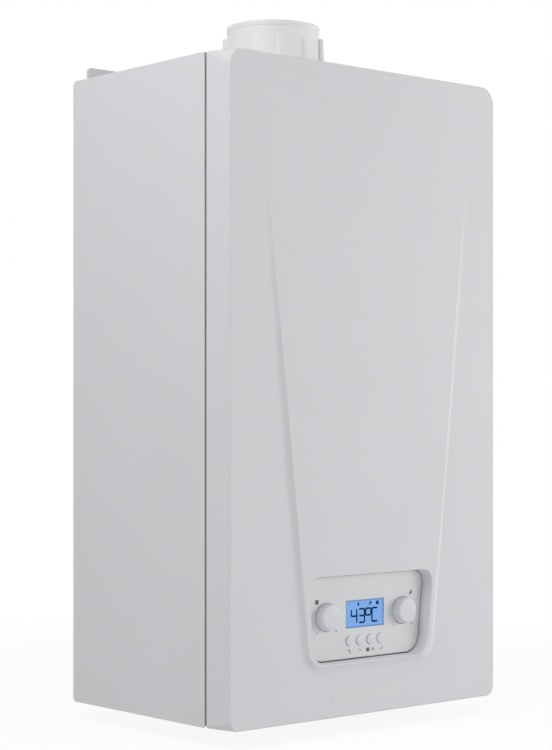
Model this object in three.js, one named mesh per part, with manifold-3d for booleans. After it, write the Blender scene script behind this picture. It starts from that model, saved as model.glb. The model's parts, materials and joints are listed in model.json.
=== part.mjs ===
// Wall-hung combination boiler: casing, flue collar, condensing cell, fan, gas valve,
// hydraulics and a drop-down control box behind a pull-off front cover.
// Millimetres. X runs to the right seen from the front, +Y into the wall, Z up.
// The origin is the middle of the hanging rail's back, on the wall. Inside the boiler
// group, z is the height above the casing's bottom edge.
import * as THREE from 'three';
import { mergeVertices } from 'three/addons/utils/BufferGeometryUtils.js';
import Module from 'manifold-3d';

const wasm = await Module();
wasm.setup();

// ---- driving dimensions: casing ----
const CASE_WIDTH = 395;
const CASE_HEIGHT = 700;
const CASE_DEPTH = 279; // wall to the flat of the front cover
const CASE_TOP = 20; // casing top above the rail's middle
const SHEET = 1.2; // casing steel
const FIT = 0.3; // gap kept between pieces that touch
const REAR_STEP = 0.5; // side panels stop this far from the wall
const REAR_CORNER = 5; // rounding of the side panels' rear corners
const FLANGE = 14; // flanges folded in behind the seam
const PIPE_SPACE = 32; // open space for pipe ends under the bottom plate

const COVER_DEPTH = 38.5; // seam edge to flat face
const COVER_WALL = 1.8;
const COVER_EDGE = 4; // rounding between face and sides
const COVER_CORNER = 18; // corner radius seen from the front
const COVER_SEAM_CORNER = 3; // the same corner at the seam
const COVER_RETURN = 12; // return flange behind the cover
const SEAM = 3; // dark gap filled by the gasket
const GASKET_WIDTH = 10;
const GASKET_INSET = 3; // gasket's distance in from the casing side

const SHIELD_RAISE = 4.2; // raised shield on the cover
const SHIELD_FOOT = 48; // height of its lower edge
const SHIELD_TOP = 620; // height where it has faded out
const SHIELD_RUNOUT = 10; // the raise would reach zero this much higher
const SHIELD_HALF = 84; // crest half-width carried down to height 0
const SHIELD_SPREAD = 0.1115; // growth of the half-width per mm of height
const SHIELD_FLANK = 9; // width of the sloping flank
const SHIELD_CORNER = 28; // lower corner radius
const FLARE_START = 560; // above this the flank sweeps outwards
const FLARE_RATE = 0.0027;
const FADE_START = 200; // above this the raise gets lower

const POCKET_BOTTOM = 57.5; // opening for the controls, at the crest
const POCKET_TOP = 151.8;
const POCKET_HALF_TOP = 94.6;
const POCKET_HALF_BOTTOM = 84.4;
const POCKET_RADIUS_TOP = 14;
const POCKET_RADIUS_BOTTOM = 20;
const POCKET_DRAFT_SIDE = 5.4; // side walls lean in by this much
const POCKET_DRAFT_END = 1.6; // top and bottom walls
const FASCIA_DEPTH = 12; // crest to fascia face
const FASCIA_GAP = 1; // dark line round the fascia
const FASCIA_THICK = 2.5;

const BADGE_HALF = 56;
const BADGE_HEIGHT = 13;
const BADGE_Z = 20.5;
const BADGE_THICK = 0.6;

const SCREW_INSET = 47.5; // cover screws to casing side
const SCREW_HEAD = 4.6; // head radius
const SCREW_SHANK = 2.3;
const SCREW_LENGTH = 24;
const SCREW_LAND = 0.6; // cover metal under the screw head
const TAB_HEIGHT = 16; // cover tabs above the casing's bottom edge
const TAB_WIDTH = 18;
const TAB_THICK = 1.5;
const TAB_REACH = 6; // tab in front of its screw

// ---- hanging parts ----
const RAIL_INSET = 19; // rail end to casing side
const RAIL_RISE = 18; // rail above the casing top
const RAIL_HEIGHT = 63;
const RAIL_THICK = 3;
const RAIL_SLOT_X = 90;
const RAIL_SLOT = 9;
const RAIL_SLOT_LONG = 24;
const RAIL_SLOT_EDGE = 5; // slot to the rail's upper edge
const HOOK_INSET = 47.5; // hooks to casing side
const HOOK_WIDTH = 24;
const HOOK_DROP = 18; // hook floor below the origin
const HOOK_THICK = 2.5;
const HOOK_LIP = 12;
const FRAME_THICK = 1.5;
const FRAME_FLANGE = 18;
const CRADLE_REACH = 30; // cradle arms in front of the cell's rear
const CRADLE_HEIGHT = 24;
const CRADLE_THICK = 3;

// ---- flue ----
const FLUE_Y = 118; // wall to flue axis
const COLLAR_RADIUS = 53.5;
const COLLAR_BORE = 50.5; // takes a 100 mm air duct
const COLLAR_HEIGHT = 68;
const COLLAR_FLANGE = 68;
const COLLAR_FLANGE_THICK = 4;
const COLLAR_PAD = 4.8; // pads stand this proud of the collar
const COLLAR_PAD_WIDTH = 26;
const COLLAR_PAD_TOP = 56;
const COLLAR_PAD_ANGLES = [21, 131, 221, 311]; // from the front, towards the left
const FLUE_RADIUS = 31; // exhaust pipe for a 60 mm flue
const FLUE_WALL = 1.5;
const FLUE_SOCKET = 3; // socket bulge
const SOCKET_DEPTH = 34;
const FLUE_BELOW_RIM = 8;
const SEAL_HEIGHT = 6;
const SEAL_DEPTH = 1.4; // seal stands into the bore by this much

// ---- condensing cell, fan and gas ----
const CELL_RADIUS = 90;
const CELL_WALL = 2;
const CELL_RIM = 6; // clamping rim for the door
const CELL_OUTLET = 14; // flue outlet above the shell
const DRAIN_RADIUS = 11;
const DRAIN_BORE = 8;
const DRAIN_DROP = 12; // drain below the shell
const DRAIN_INSET = 22; // drain axis behind the cell's front
const DOOR_THICK = 10;
const DOOR_ROOM = 2; // burner door to fan housing
const COIL_TURN = 70;
const COIL_TUBE = 7;
const COIL_TURNS = 4;
const COIL_STUB = 14; // coil ends outside the shell
const BURNER_RADIUS = 33;
const BURNER_LENGTH = 82;
const ELECTRODE_RADIUS = 4;
const ELECTRODE_OUT = 49.5; // electrode's distance from the cell's axis
const ELECTRODE_FRONT = 14; // out of the door
const ELECTRODE_REACH = 30; // into the cell
const ELBOW_RADIUS = 17;
const ELBOW_WALL = 3;
const FAN_RADIUS = 56;
const FAN_DEPTH = 38;
const FAN_WALL = 2.5;
const FAN_BLADES = 12;
const FAN_NECK = 12; // housing neck that meets the elbow
const MOTOR_RADIUS = 30;
const MOTOR_DEPTH = 20;
const MOTOR_ROOM = 19.5; // fan motor to the inside of the cover
const MIXER_RADIUS = 26;
const MIXER_LENGTH = 52;
const VALVE_WIDTH = 58;
const VALVE_DEPTH = 66;
const VALVE_HEIGHT = 86;
const GAS_PIPE = 7;
const PIPE_WALL = 1.2;
const GAS_RISE = 88; // supply pipe's straight run above the water blocks
const GAS_TURN = 60; // its last run below the valve
const FEED_TURN = 40; // feed pipe's run above the valve
const ROOM = 6; // least room between inner parts that don't touch

// ---- hydraulics ----
const VESSEL_WIDTH = 330;
const VESSEL_HEIGHT = 370;
const VESSEL_THICK = 56;
const VESSEL_CORNER = 40;
const VESSEL_WALL = 2;
const VESSEL_DOME = 12; // depth of the rounded rim
const VESSEL_INSET = 10; // flat face inside the rim
const VESSEL_NIPPLE = 12;
const VESSEL_DROP = 30; // below the hooks
const UNION_PITCH = 65;
const UNION_Y = 120; // wall to union axes
const UNION_BORE = 7;
const UNION_RADIUS = 10.5;
const UNION_NUT = 15;
const UNION_DROP = 24; // union end below the bottom plate
const BLOCK_HEIGHT = 40;
const BLOCK_DEPTH = 58;
const BLOCK_END = 30; // block beyond its outer port
const PUMP_RADIUS = 40;
const PUMP_DEPTH = 52;
const PUMP_NECK = 14; // pump above its water block
const PUMP_PORT = 10; // upper port above the pump
const PUMP_INSET = 3; // pump's rear in front of the block's
const PORT_RADIUS = 13;
const PORT_BORE = 8;
const PUMP_WALL = 4;
const VENT_RADIUS = 10;
const VENT_HEIGHT = 38;
const VENT_STEM = 4;
const VENT_CAP = 7;
const ACTUATOR_WIDTH = 42;
const ACTUATOR_DEPTH = 46;
const ACTUATOR_HEIGHT = 46;
const ACTUATOR_FOOT = 6;
const SEAT_RISE = 3; // seats on top of the water blocks
const SPINDLE_RADIUS = 3;
const SPINDLE_CLEAR = 1.5;
const SPINDLE_REACH = 28; // well in the actuator
const SPINDLE_DROP = 3; // spindle into the flow block
const SPINDLE_COLLAR = 0.9;
const RELIEF_RADIUS = 13; // relief boss on the flow block
const RELIEF_REACH = 14; // boss in front of the block
const RELIEF_KNOB = { radius: 14, height: 14, stem: 20, shaft: 3.6 };
const FILL_KNOB = { radius: 10, height: 16, shaft: 3 };
const FILL_DROP = 4; // knob below the bottom plate
const FILL_GRIP = 10; // stem inside the block
const PUMP_MOTOR_RADIUS = 36;
const PUMP_ROOM = 14.6; // pump motor to the control box's lid
const PUMP_FLANGE = 4;
const PUMP_VANES = 6;
const EXCHANGER_WIDTH = 184;
const EXCHANGER_HEIGHT = 74;
const EXCHANGER_DEPTH = 50;
const EXCHANGER_PLATES = 8;
const WATER_PIPE = 9;
const FLOW_RISE = 130; // outer bend of the flow pipe above the water block
const FLOW_DROP = 80; // inner bend
const FLOW_REACH = 22; // run out of the cell
const FLOW_PORT = 26; // port beside the hot water union
const RETURN_REACH = 24;
const RETURN_DROP = 60;
const RETURN_RISE = 40; // run above the pump
const HOSE_WALL = 1.5;
const HOSE = 6;
const HOSE_RISE = 30; // lower bend above the pump
const HOSE_RUN = 26; // straight run under the vessel
const TRAP_RADIUS = 24;
const TRAP_HEIGHT = 96;
const TRAP_LIP = 4; // neck and foot narrower by this
const TRAP_NECK = 8;
const TRAP_FOOT = 10;
const TRAP_WELL = 30; // depth of the drain's bore in the trap
const WASTE_RADIUS = 8;
const WASTE_DROP = 40; // first straight run of the hose
const WASTE_SIDESTEP = 50; // height over which it moves sideways

// ---- controls ----
const BOX_INSET = 47.5; // control box to casing side
const BOX_BOTTOM = 40;
const BOX_HEIGHT = 158;
const BOX_DEPTH = 58;
const BOX_WALL = 2.5;
const HINGE_PIN = 3;
const HINGE_RISE = 5; // hinge axis above the box's bottom edge
const HINGE_BACK = 5; // hinge axis behind the box's front
const ARM_THICK = 2.5;
const ARM_CLEAR = 2; // box side to hinge arm
const PIN_END = 2; // pin beyond its arm
const LCD_WIDTH = 57;
const LCD_HEIGHT = 30;
const LCD_Z = 107.9;
const LCD_RECESS = 1;
const LCD_FRAME = 3; // holder round the display
const LCD_LIP = 2; // holder above and below it
const LCD_SEAT = 4; // holder's rear in front of the display's
const BOX_STANDOFF = 6; // fascia face to control box
const BOARD_STANDOFF = 15; // box front to circuit board
const LID_THICK = 2;
const LID_RIB = 5;
const LID_GRIP = 4; // grip bar's depth behind the box
const LID_GRIP_HALF = 40;
const LID_GRIP_DROP = 30; // grip bar below the box's top
const BOARD_THICK = 1.6;
const BOARD_INSET = 12;
const TRANSFORMER = { x: -95, width: 50, drop: 41, height: 38, depth: 22 };
const RELAY = { x: 77.5, width: 35, drop: 40, height: 30, depth: 18 };
const CHIP = { x: 0, width: 40, drop: 113, height: 30, depth: 8 };
const KNOB_X = 57;
const KNOB_Z = 107.3;
const KNOB_RADIUS = 15;
const KNOB_FACE = 12.8;
const KNOB_HEIGHT = 9;
const BUTTON_RADIUS = 5.5;
const BUTTON_PITCH = 15.5;
const BUTTON_Z = 79.1;
const BUTTON_DOME = 1.4;
const BUTTON_GAP = 0.35;
const BUTTON_TRAVEL = 1.2;

const ROUND = 24; // sides of a large circle
const SMALL = 10; // sides of a small one
const WIDE = 30; // sides of the collar and the condensing cell

// ---- finishes ----
function finish(color, roughness, metalness) {
  return new THREE.MeshStandardMaterial({ color, roughness, metalness });
}
const whitePaint = finish(0xe4e5e8, 0.45, 0.0);
const whitePlastic = finish(0xe9e9ea, 0.4, 0.0);
const knobPlastic = finish(0xe2e3e6, 0.35, 0.0);
const blackPlastic = finish(0x2a2b2e, 0.6, 0.0);
const greyPlastic = finish(0x8a8d91, 0.55, 0.0);
const redPlastic = finish(0xb3261e, 0.45, 0.0);
const bluePlastic = finish(0x2456a8, 0.45, 0.0);
const rubber = finish(0x1c1c1e, 0.85, 0.0);
const zincSteel = finish(0xb5b8ba, 0.35, 0.9);
const castAluminium = finish(0xa9abad, 0.5, 0.85);
const stainless = finish(0xc4c6c8, 0.28, 1.0);
const brass = finish(0xc2a14e, 0.35, 1.0);
const copper = finish(0xb87348, 0.32, 1.0);
const redPaint = finish(0xa5281f, 0.5, 0.0);
const displayBlue = finish(0x6fa8ee, 0.2, 0.0);
const boardGreen = finish(0x2f6b3e, 0.6, 0.0);
const ceramic = finish(0xe8e2d4, 0.6, 0.0);

// ---- solid helpers ----
// Turns the faces over where a shape came out with its inside outwards.
function outward(geometry) {
  const { position } = geometry.attributes;
  const { index } = geometry;
  const [a, b, c] = [new THREE.Vector3(), new THREE.Vector3(), new THREE.Vector3()];
  let volume = 0;
  for (let i = 0; i < index.count; i += 3) {
    a.fromBufferAttribute(position, index.getX(i));
    b.fromBufferAttribute(position, index.getX(i + 1));
    c.fromBufferAttribute(position, index.getX(i + 2));
    volume += a.dot(b.cross(c)) / 6;
  }
  if (volume < 0) {
    for (let i = 0; i < index.count; i += 3) {
      const first = index.getX(i);
      index.setX(i, index.getX(i + 1));
      index.setX(i + 1, first);
    }
  }
  return geometry;
}

// Two numbers with the lower one first.
function ordered(a, b) {
  return [Math.min(a, b), Math.max(a, b)];
}

function toSolid(geometry) {
  const bare = geometry.clone();
  bare.deleteAttribute('normal');
  bare.deleteAttribute('uv');
  const merged = mergeVertices(bare, 1e-4);
  const vertProperties = Float32Array.from(merged.attributes.position.array);
  const triVerts = Uint32Array.from(merged.index.array);
  return new wasm.Manifold(new wasm.Mesh({ numProp: 3, vertProperties, triVerts }));
}

function toGeometry(solid) {
  const mesh = solid.getMesh();
  const geometry = new THREE.BufferGeometry();
  geometry.setAttribute('position', new THREE.BufferAttribute(mesh.vertProperties, 3));
  geometry.setIndex(new THREE.BufferAttribute(mesh.triVerts, 1));
  geometry.computeVertexNormals();
  return geometry;
}

// One geometry from pieces joined together and tools cut away.
function shaped(joined, removed = []) {
  let solid = toSolid(joined[0]);
  for (const piece of joined.slice(1)) solid = solid.add(toSolid(piece));
  for (const tool of removed) solid = solid.subtract(toSolid(tool));
  return toGeometry(solid);
}

function block(x0, x1, y0, y1, z0, z1) {
  const geometry = new THREE.BoxGeometry(x1 - x0, y1 - y0, z1 - z0);
  return geometry.translate((x0 + x1) / 2, (y0 + y1) / 2, (z0 + z1) / 2);
}

// A round bar between two points on an axis parallel to X, Y or Z.
function bar(axis, radius, start, end, a = 0, b = 0, sides = SMALL, endRadius = radius) {
  const geometry = new THREE.CylinderGeometry(endRadius, radius, end - start, sides);
  geometry.translate(0, (start + end) / 2, 0);
  if (axis === 'x') return geometry.rotateZ(-Math.PI / 2).translate(0, a, b);
  if (axis === 'y') return geometry.translate(a, 0, b);
  return geometry.rotateX(Math.PI / 2).translate(a, b, 0);
}

// A turned piece: profile points are (radius, height) on the Z axis.
function turned(profile, sides = ROUND) {
  const points = profile.map(([radius, height]) => new THREE.Vector2(radius, height));
  return outward(new THREE.LatheGeometry(points, sides).rotateX(Math.PI / 2));
}

// Corners [x, z, radius] rounded into one outline with the same number of points each.
function rounded(corners, steps = 4) {
  const outline = [];
  corners.forEach(([x, z, radius], i) => {
    const before = corners[(i + corners.length - 1) % corners.length];
    const after = corners[(i + 1) % corners.length];
    const corner = new THREE.Vector2(x, z);
    const inward = new THREE.Vector2(before[0], before[1]).sub(corner).normalize();
    const outward = new THREE.Vector2(after[0], after[1]).sub(corner).normalize();
    const half = Math.acos(inward.dot(outward)) / 2;
    const middle = inward.clone().add(outward).normalize();
    const centre = corner.clone().add(middle.multiplyScalar(radius / Math.sin(half)));
    const reach = radius / Math.tan(half);
    const start = corner.clone().add(inward.multiplyScalar(reach)).sub(centre);
    const end = corner.clone().add(outward.multiplyScalar(reach)).sub(centre);
    let turn = end.angle() - start.angle();
    if (turn > Math.PI) turn -= 2 * Math.PI;
    if (turn < -Math.PI) turn += 2 * Math.PI;
    for (let k = 0; k <= steps; k += 1) {
      const spoke = start.clone().rotateAround(new THREE.Vector2(), (turn * k) / steps);
      outline.push(spoke.add(centre));
    }
  });
  return outline;
}

// A closed body through sections of equal point count.
function loft(sections) {
  const count = sections[0].length;
  const positions = sections.flat().flatMap((point) => [point.x, point.y, point.z]);
  const index = [];
  for (let s = 0; s < sections.length - 1; s += 1) {
    for (let i = 0; i < count; i += 1) {
      const j = (i + 1) % count;
      const [a, b] = [s * count + i, s * count + j];
      index.push(a, b, b + count, a, b + count, a + count);
    }
  }
  const last = (sections.length - 1) * count;
  for (let i = 1; i < count - 1; i += 1) {
    index.push(0, i + 1, i);
    index.push(last, last + i, last + i + 1);
  }
  const geometry = new THREE.BufferGeometry();
  geometry.setAttribute('position', new THREE.Float32BufferAttribute(positions, 3));
  geometry.setIndex(index);
  return outward(geometry);
}

function upright(outline, y) {
  return outline.map((point) => new THREE.Vector3(point.x, y, point.y));
}

// A plate whose outline lies in the XZ plane, from y0 to y1.
function plate(outline, y0, y1) {
  return loft([upright(outline, y0), upright(outline, y1)]);
}

// Ring stations along a route of straight runs and rounded bends.
function stations(points, bend, bendSteps) {
  const path = [points[0]];
  for (let i = 1; i < points.length - 1; i += 1) {
    const [before, corner, after] = [points[i - 1], points[i], points[i + 1]];
    const reach = Math.min(bend, before.distanceTo(corner) / 2, corner.distanceTo(after) / 2);
    const start = corner.clone().add(before.clone().sub(corner).setLength(reach));
    const end = corner.clone().add(after.clone().sub(corner).setLength(reach));
    const curve = new THREE.QuadraticBezierCurve3(start, corner, end);
    path.push(...curve.getPoints(bendSteps));
  }
  path.push(points[points.length - 1]);
  return path;
}

function sweep(path, radius, sides) {
  const tangents = path.map((point, i) => {
    const before = path[Math.max(i - 1, 0)];
    const after = path[Math.min(i + 1, path.length - 1)];
    const back = point.clone().sub(before).normalize();
    const ahead = after.clone().sub(point).normalize();
    return back.add(ahead).normalize();
  });
  const spoke = new THREE.Vector3(0, 1, 0);
  if (Math.abs(tangents[0].y) > 0.9) spoke.set(1, 0, 0);
  spoke.cross(tangents[0]).normalize();
  const sections = path.map((point, i) => {
    if (i > 0) {
      const turn = new THREE.Quaternion().setFromUnitVectors(tangents[i - 1], tangents[i]);
      spoke.applyQuaternion(turn);
    }
    const section = [];
    for (let k = 0; k < sides; k += 1) {
      const around = spoke.clone().applyAxisAngle(tangents[i], (2 * Math.PI * k) / sides);
      section.push(around.multiplyScalar(radius).add(point));
    }
    return section;
  });
  return loft(sections);
}

// A hollow pipe through points, its bore running out at both ends.
function pipe(points, radius, wall, bend = 3 * radius, sides = 8) {
  const route = points.map(([x, y, z]) => new THREE.Vector3(x, y, z));
  const path = stations(route, bend, 2);
  const bore = path.slice();
  const last = bore.length - 1;
  bore[0] = path[0].clone().lerp(path[1], -0.05);
  bore[last] = path[last].clone().lerp(path[last - 1], -0.05);
  return shaped([sweep(path, radius, sides)], [sweep(bore, radius - wall, sides)]);
}

function place(group, name, geometry, material, x = 0, y = 0, z = 0) {
  const mesh = new THREE.Mesh(geometry, material);
  mesh.name = name;
  mesh.position.set(x, y, z);
  group.add(mesh);
  return mesh;
}

const product = new THREE.Group();
const boiler = new THREE.Group();
boiler.position.z = CASE_TOP - CASE_HEIGHT;
product.add(boiler);

// ---- planes shared by the casing pieces ----
const halfWidth = CASE_WIDTH / 2;
const innerHalf = halfWidth - SHEET;
const screwX = halfWidth - SCREW_INSET;
const hookX = halfWidth - HOOK_INSET;
const boxHalf = halfWidth - BOX_INSET;
const rimY = -(CASE_DEPTH - COVER_DEPTH); // rear edge of the cover
const seamY = rimY + SEAM; // front of the casing
const faceY = -CASE_DEPTH;
const crestY = faceY - SHIELD_RAISE;
const plateTop = PIPE_SPACE + SHEET; // upper side of the bottom plate
const flangeHalf = innerHalf - FLANGE - FIT;
const screwY = (rimY + faceY) / 2; // cover screws
const frameRear = -(RAIL_THICK + FIT);
const frameFront = frameRear - FRAME_THICK;

// ---- hanging rail ----
function hangingRail() {
  const end = halfWidth - RAIL_INSET;
  const top = CASE_TOP + RAIL_RISE;
  const bottom = top - RAIL_HEIGHT;
  const outline = rounded([[-end, bottom, 3], [end, bottom, 3], [end, top, 5], [-end, top, 5]]);
  const pieces = [plate(outline, -RAIL_THICK, 0)];
  const cuts = [];
  for (const side of [-1, 1]) {
    const x = side * hookX;
    const [x0, x1] = [x - HOOK_WIDTH / 2, x + HOOK_WIDTH / 2];
    const lipY = -(RAIL_THICK + FRAME_THICK + 4);
    const floor = -HOOK_DROP;
    const lipEnd = lipY - HOOK_THICK;
    pieces.push(block(x0, x1, lipEnd, -RAIL_THICK / 2, floor, floor + HOOK_THICK));
    pieces.push(block(x0, x1, lipEnd, lipY, floor, floor + HOOK_LIP));
    const [near, far] = [RAIL_SLOT_X - RAIL_SLOT_LONG / 2, RAIL_SLOT_X + RAIL_SLOT_LONG / 2];
    const high = top - RAIL_SLOT_EDGE;
    const low = high - RAIL_SLOT;
    const round = RAIL_SLOT * 0.49;
    const slot = rounded([
      [side * near, low, round], [side * far, low, round],
      [side * far, high, round], [side * near, high, round],
    ]);
    cuts.push(plate(slot, -RAIL_THICK - 1, 1));
  }
  return shaped(pieces, cuts);
}
place(product, 'hanging_rail', hangingRail(), zincSteel);

// ---- heights and depths that chain the inner parts together ----
const vesselRear = frameFront - FIT;
const vesselFront = vesselRear - VESSEL_THICK;
const cellRear = Math.min(vesselFront, -FLUE_Y + FLUE_RADIUS + FLUE_SOCKET + 24) - ROOM;
const fanFront = faceY + COVER_WALL + MOTOR_ROOM + MOTOR_DEPTH + FIT;
const fanRear = fanFront + FAN_DEPTH;
const doorFront = fanRear + DOOR_ROOM;
const cellFront = doorFront + DOOR_THICK + FIT;
const fanX = FLUE_RADIUS + FLUE_SOCKET + ROOM + FAN_RADIUS + FAN_NECK;
const fanZ = CASE_HEIGHT - SHEET - ROOM - FAN_RADIUS - 8;
const cellZ = fanZ - FAN_RADIUS - ROOM - CELL_RADIUS - CELL_RIM;
const coilZ = cellZ - COIL_TURN;
const blockBottom = plateTop + ROOM;
const blockTop = blockBottom + BLOCK_HEIGHT;
const blockFront = -(UNION_Y + BLOCK_DEPTH / 2);
const blockRear = -(UNION_Y - BLOCK_DEPTH / 2);
const boxFront = crestY + FASCIA_DEPTH + BOX_STANDOFF;
const boxRear = boxFront + BOX_DEPTH;
const boxTop = BOX_BOTTOM + BOX_HEIGHT;
const hingeY = boxFront + HINGE_BACK;
const hingeZ = BOX_BOTTOM + HINGE_RISE;

// ---- casing ----
function backFrame() {
  const bottom = plateTop + FIT;
  const top = CASE_HEIGHT - SHEET - FIT;
  const side = innerHalf - FIT;
  const pieces = [block(-side, side, frameFront, frameRear, bottom, top)];
  const cuts = [];
  for (const sign of [-1, 1]) {
    const edge = ordered(sign * side, sign * (side - FRAME_THICK));
    pieces.push(block(...edge, frameFront - FRAME_FLANGE, frameRear, bottom, top));
    // cradle arm that carries the condensing cell
    const armIn = CELL_RADIUS + FIT;
    const armOut = VESSEL_WIDTH / 2 + ROOM;
    const armFront = cellRear - CRADLE_REACH;
    const height = [cellZ - CRADLE_HEIGHT / 2, cellZ + CRADLE_HEIGHT / 2];
    const reach = ordered(sign * armIn, sign * (armOut + CRADLE_THICK));
    const strut = ordered(sign * armOut, sign * (armOut + CRADLE_THICK));
    pieces.push(block(...reach, armFront, armFront + CRADLE_THICK, ...height));
    pieces.push(block(...strut, armFront, frameRear, ...height));
    // window for the rail's hook
    const x = sign * hookX;
    const half = HOOK_WIDTH / 2 + 1;
    const floor = CASE_HEIGHT - CASE_TOP - HOOK_DROP;
    const window = [floor - 2, floor + HOOK_THICK + FIT];
    cuts.push(block(x - half, x + half, frameFront - 1, frameRear + 1, ...window));
  }
  return shaped(pieces, cuts);
}

function sidePanel(sign) {
  const rear = -REAR_STEP;
  const corners = [
    [seamY, 0, 1], [rear, 0, REAR_CORNER], [rear, CASE_HEIGHT, REAR_CORNER],
    [seamY, CASE_HEIGHT, 1],
  ];
  const skin = rounded(corners, 3);
  const outer = skin.map((point) => new THREE.Vector3(sign * halfWidth, point.x, point.y));
  const inner = skin.map((point) => new THREE.Vector3(sign * innerHalf, point.x, point.y));
  const fold = ordered(sign * (innerHalf + SHEET / 2), sign * (innerHalf - FLANGE));
  const flange = block(...fold, seamY, seamY + SHEET, 2, CASE_HEIGHT - 2);
  return shaped([loft([outer, inner]), flange]);
}

function topPlate() {
  const side = innerHalf - FIT;
  const top = CASE_HEIGHT;
  const pieces = [
    block(-side, side, seamY + SHEET + FIT, frameFront - FIT, top - SHEET, top),
    block(-flangeHalf, flangeHalf, seamY, seamY + 2 * SHEET + FIT, top - SHEET, top),
    block(-flangeHalf, flangeHalf, seamY, seamY + SHEET, top - FLANGE, top),
  ];
  return shaped(pieces, [bar('z', COLLAR_BORE, top - 5, top + 5, 0, -FLUE_Y, ROUND)]);
}

const unionX = [-2, -1, 0, 1, 2].map((step) => step * UNION_PITCH);
const hoseX = UNION_PITCH / 2;
const trapY = cellFront + DRAIN_INSET; // drain, trap and its hose
const fillX = 1.5 * UNION_PITCH;

function bottomPlate() {
  const side = innerHalf - FIT;
  const pieces = [
    block(-side, side, seamY + SHEET + FIT, frameFront - FIT, PIPE_SPACE, plateTop),
    block(-flangeHalf, flangeHalf, seamY, seamY + 2 * SHEET + FIT, PIPE_SPACE, plateTop),
    block(-flangeHalf, flangeHalf, seamY, seamY + SHEET, 2, plateTop),
  ];
  const cuts = unionX.map((x) => (
    bar('z', UNION_RADIUS + 1.5, PIPE_SPACE - 5, plateTop + 5, x, -UNION_Y)
  ));
  cuts.push(bar('z', WASTE_RADIUS + 1, PIPE_SPACE - 5, plateTop + 5, hoseX, trapY));
  cuts.push(bar('z', 5, PIPE_SPACE - 5, plateTop + 5, fillX, -UNION_Y));
  for (const sign of [-1, 1]) {
    // hinge arm for the control box
    const inside = boxHalf + ARM_CLEAR;
    const arm = ordered(sign * inside, sign * (inside + ARM_THICK));
    const armFront = hingeY - HINGE_PIN - 4;
    const armTop = hingeZ + HINGE_PIN + 4;
    pieces.push(block(...arm, armFront, seamY + SHEET / 2, plateTop - SHEET, armTop));
    cuts.push(bar('x', HINGE_PIN + 0.4, ...arm.map((x, i) => x + (i ? 1 : -1)), hingeY, hingeZ));
    // tab that holds a cover screw, slotted open to the front
    const [x0, x1] = [sign * screwX - TAB_WIDTH / 2, sign * screwX + TAB_WIDTH / 2];
    const tabFront = screwY - TAB_REACH;
    const tab = [TAB_HEIGHT, TAB_HEIGHT + TAB_THICK];
    pieces.push(block(x0, x1, tabFront, seamY + SHEET / 2, ...tab));
    const slot = SCREW_SHANK + 0.5;
    const [near, far] = [sign * screwX - slot, sign * screwX + slot];
    cuts.push(block(near, far, tabFront - 1, screwY + slot, tab[0] - 1, tab[1] + 1));
  }
  return shaped(pieces, cuts);
}

function caseGasket() {
  const side = halfWidth - GASKET_INSET;
  const [y0, y1] = [rimY + FIT, seamY - FIT];
  const inside = side - GASKET_WIDTH;
  const low = GASKET_INSET + GASKET_WIDTH;
  return shaped(
    [block(-side, side, y0, y1, GASKET_INSET, CASE_HEIGHT - GASKET_INSET)],
    [block(-inside, inside, y0 - 1, y1 + 1, low, CASE_HEIGHT - low)],
  );
}

// Casing outline drawn in by an inset, with one corner radius.
function coverOutline(inset, radius) {
  const x = halfWidth - inset;
  const [low, high] = [inset, CASE_HEIGHT - inset];
  return rounded([[-x, low, radius], [x, low, radius], [x, high, radius], [-x, high, radius]]);
}

function crestHalf(z) {
  const flare = Math.max(0, z - FLARE_START);
  return SHIELD_HALF + SHIELD_SPREAD * z + FLARE_RATE * flare * flare;
}

function shieldRaise(z) {
  const fade = Math.max(0, (z - FADE_START) / (SHIELD_TOP + SHIELD_RUNOUT - FADE_START));
  return SHIELD_RAISE * (1 - fade ** 3);
}

// Heights of the flank's sections: even up to the flare, then closer.
function shieldRows() {
  const rows = [0, 1, 2, 3, 4, 5].map((k) => POCKET_TOP + ((FLARE_START - POCKET_TOP) * k) / 5);
  return [...rows, (FLARE_START + SHIELD_TOP) / 2, SHIELD_TOP];
}

// The raised shield as one body; shrink and shift give the hollow behind it.
function shieldBody(shrink, shift, back) {
  const foot = SHIELD_FOOT + shrink;
  const radius = SHIELD_CORNER - shrink;
  const rows = [];
  for (let k = 0; k <= 6; k += 1) {
    const angle = (Math.PI / 2) * (k / 6);
    const side = crestHalf(foot + radius) + SHIELD_FLANK - shrink;
    const x = side - radius + radius * Math.sin(angle);
    const z = foot + radius - radius * Math.cos(angle);
    const inner = (radius - SHIELD_FLANK) / radius;
    rows.push({ foot: [x, z], crest: [side - radius + (x - side + radius) * inner,
      foot + radius - (foot + radius - z) * inner] });
  }
  for (const z of shieldRows()) {
    const crest = crestHalf(z) - shrink;
    rows.push({ foot: [crest + SHIELD_FLANK, z], crest: [crest, z] });
  }
  const sections = rows.map((row) => {
    const faceAt = faceY + shift;
    const top = faceAt - shieldRaise(row.crest[1]);
    const middle = [row.foot[0] * 0.5 + row.crest[0] * 0.5, row.foot[1] * 0.5 + row.crest[1] * 0.5];
    const low = faceAt - shieldRaise(row.crest[1]) * 0.35;
    const right = [[...row.foot, faceAt], [...middle, low], [...row.crest, top]];
    const section = right.map(([x, z, y]) => new THREE.Vector3(-x, y, z));
    section.push(...right.reverse().map(([x, z, y]) => new THREE.Vector3(x, y, z)));
    section.push(new THREE.Vector3(row.foot[0], back, row.foot[1]));
    section.push(new THREE.Vector3(-row.foot[0], back, row.foot[1]));
    return section;
  });
  return loft(sections);
}

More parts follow.
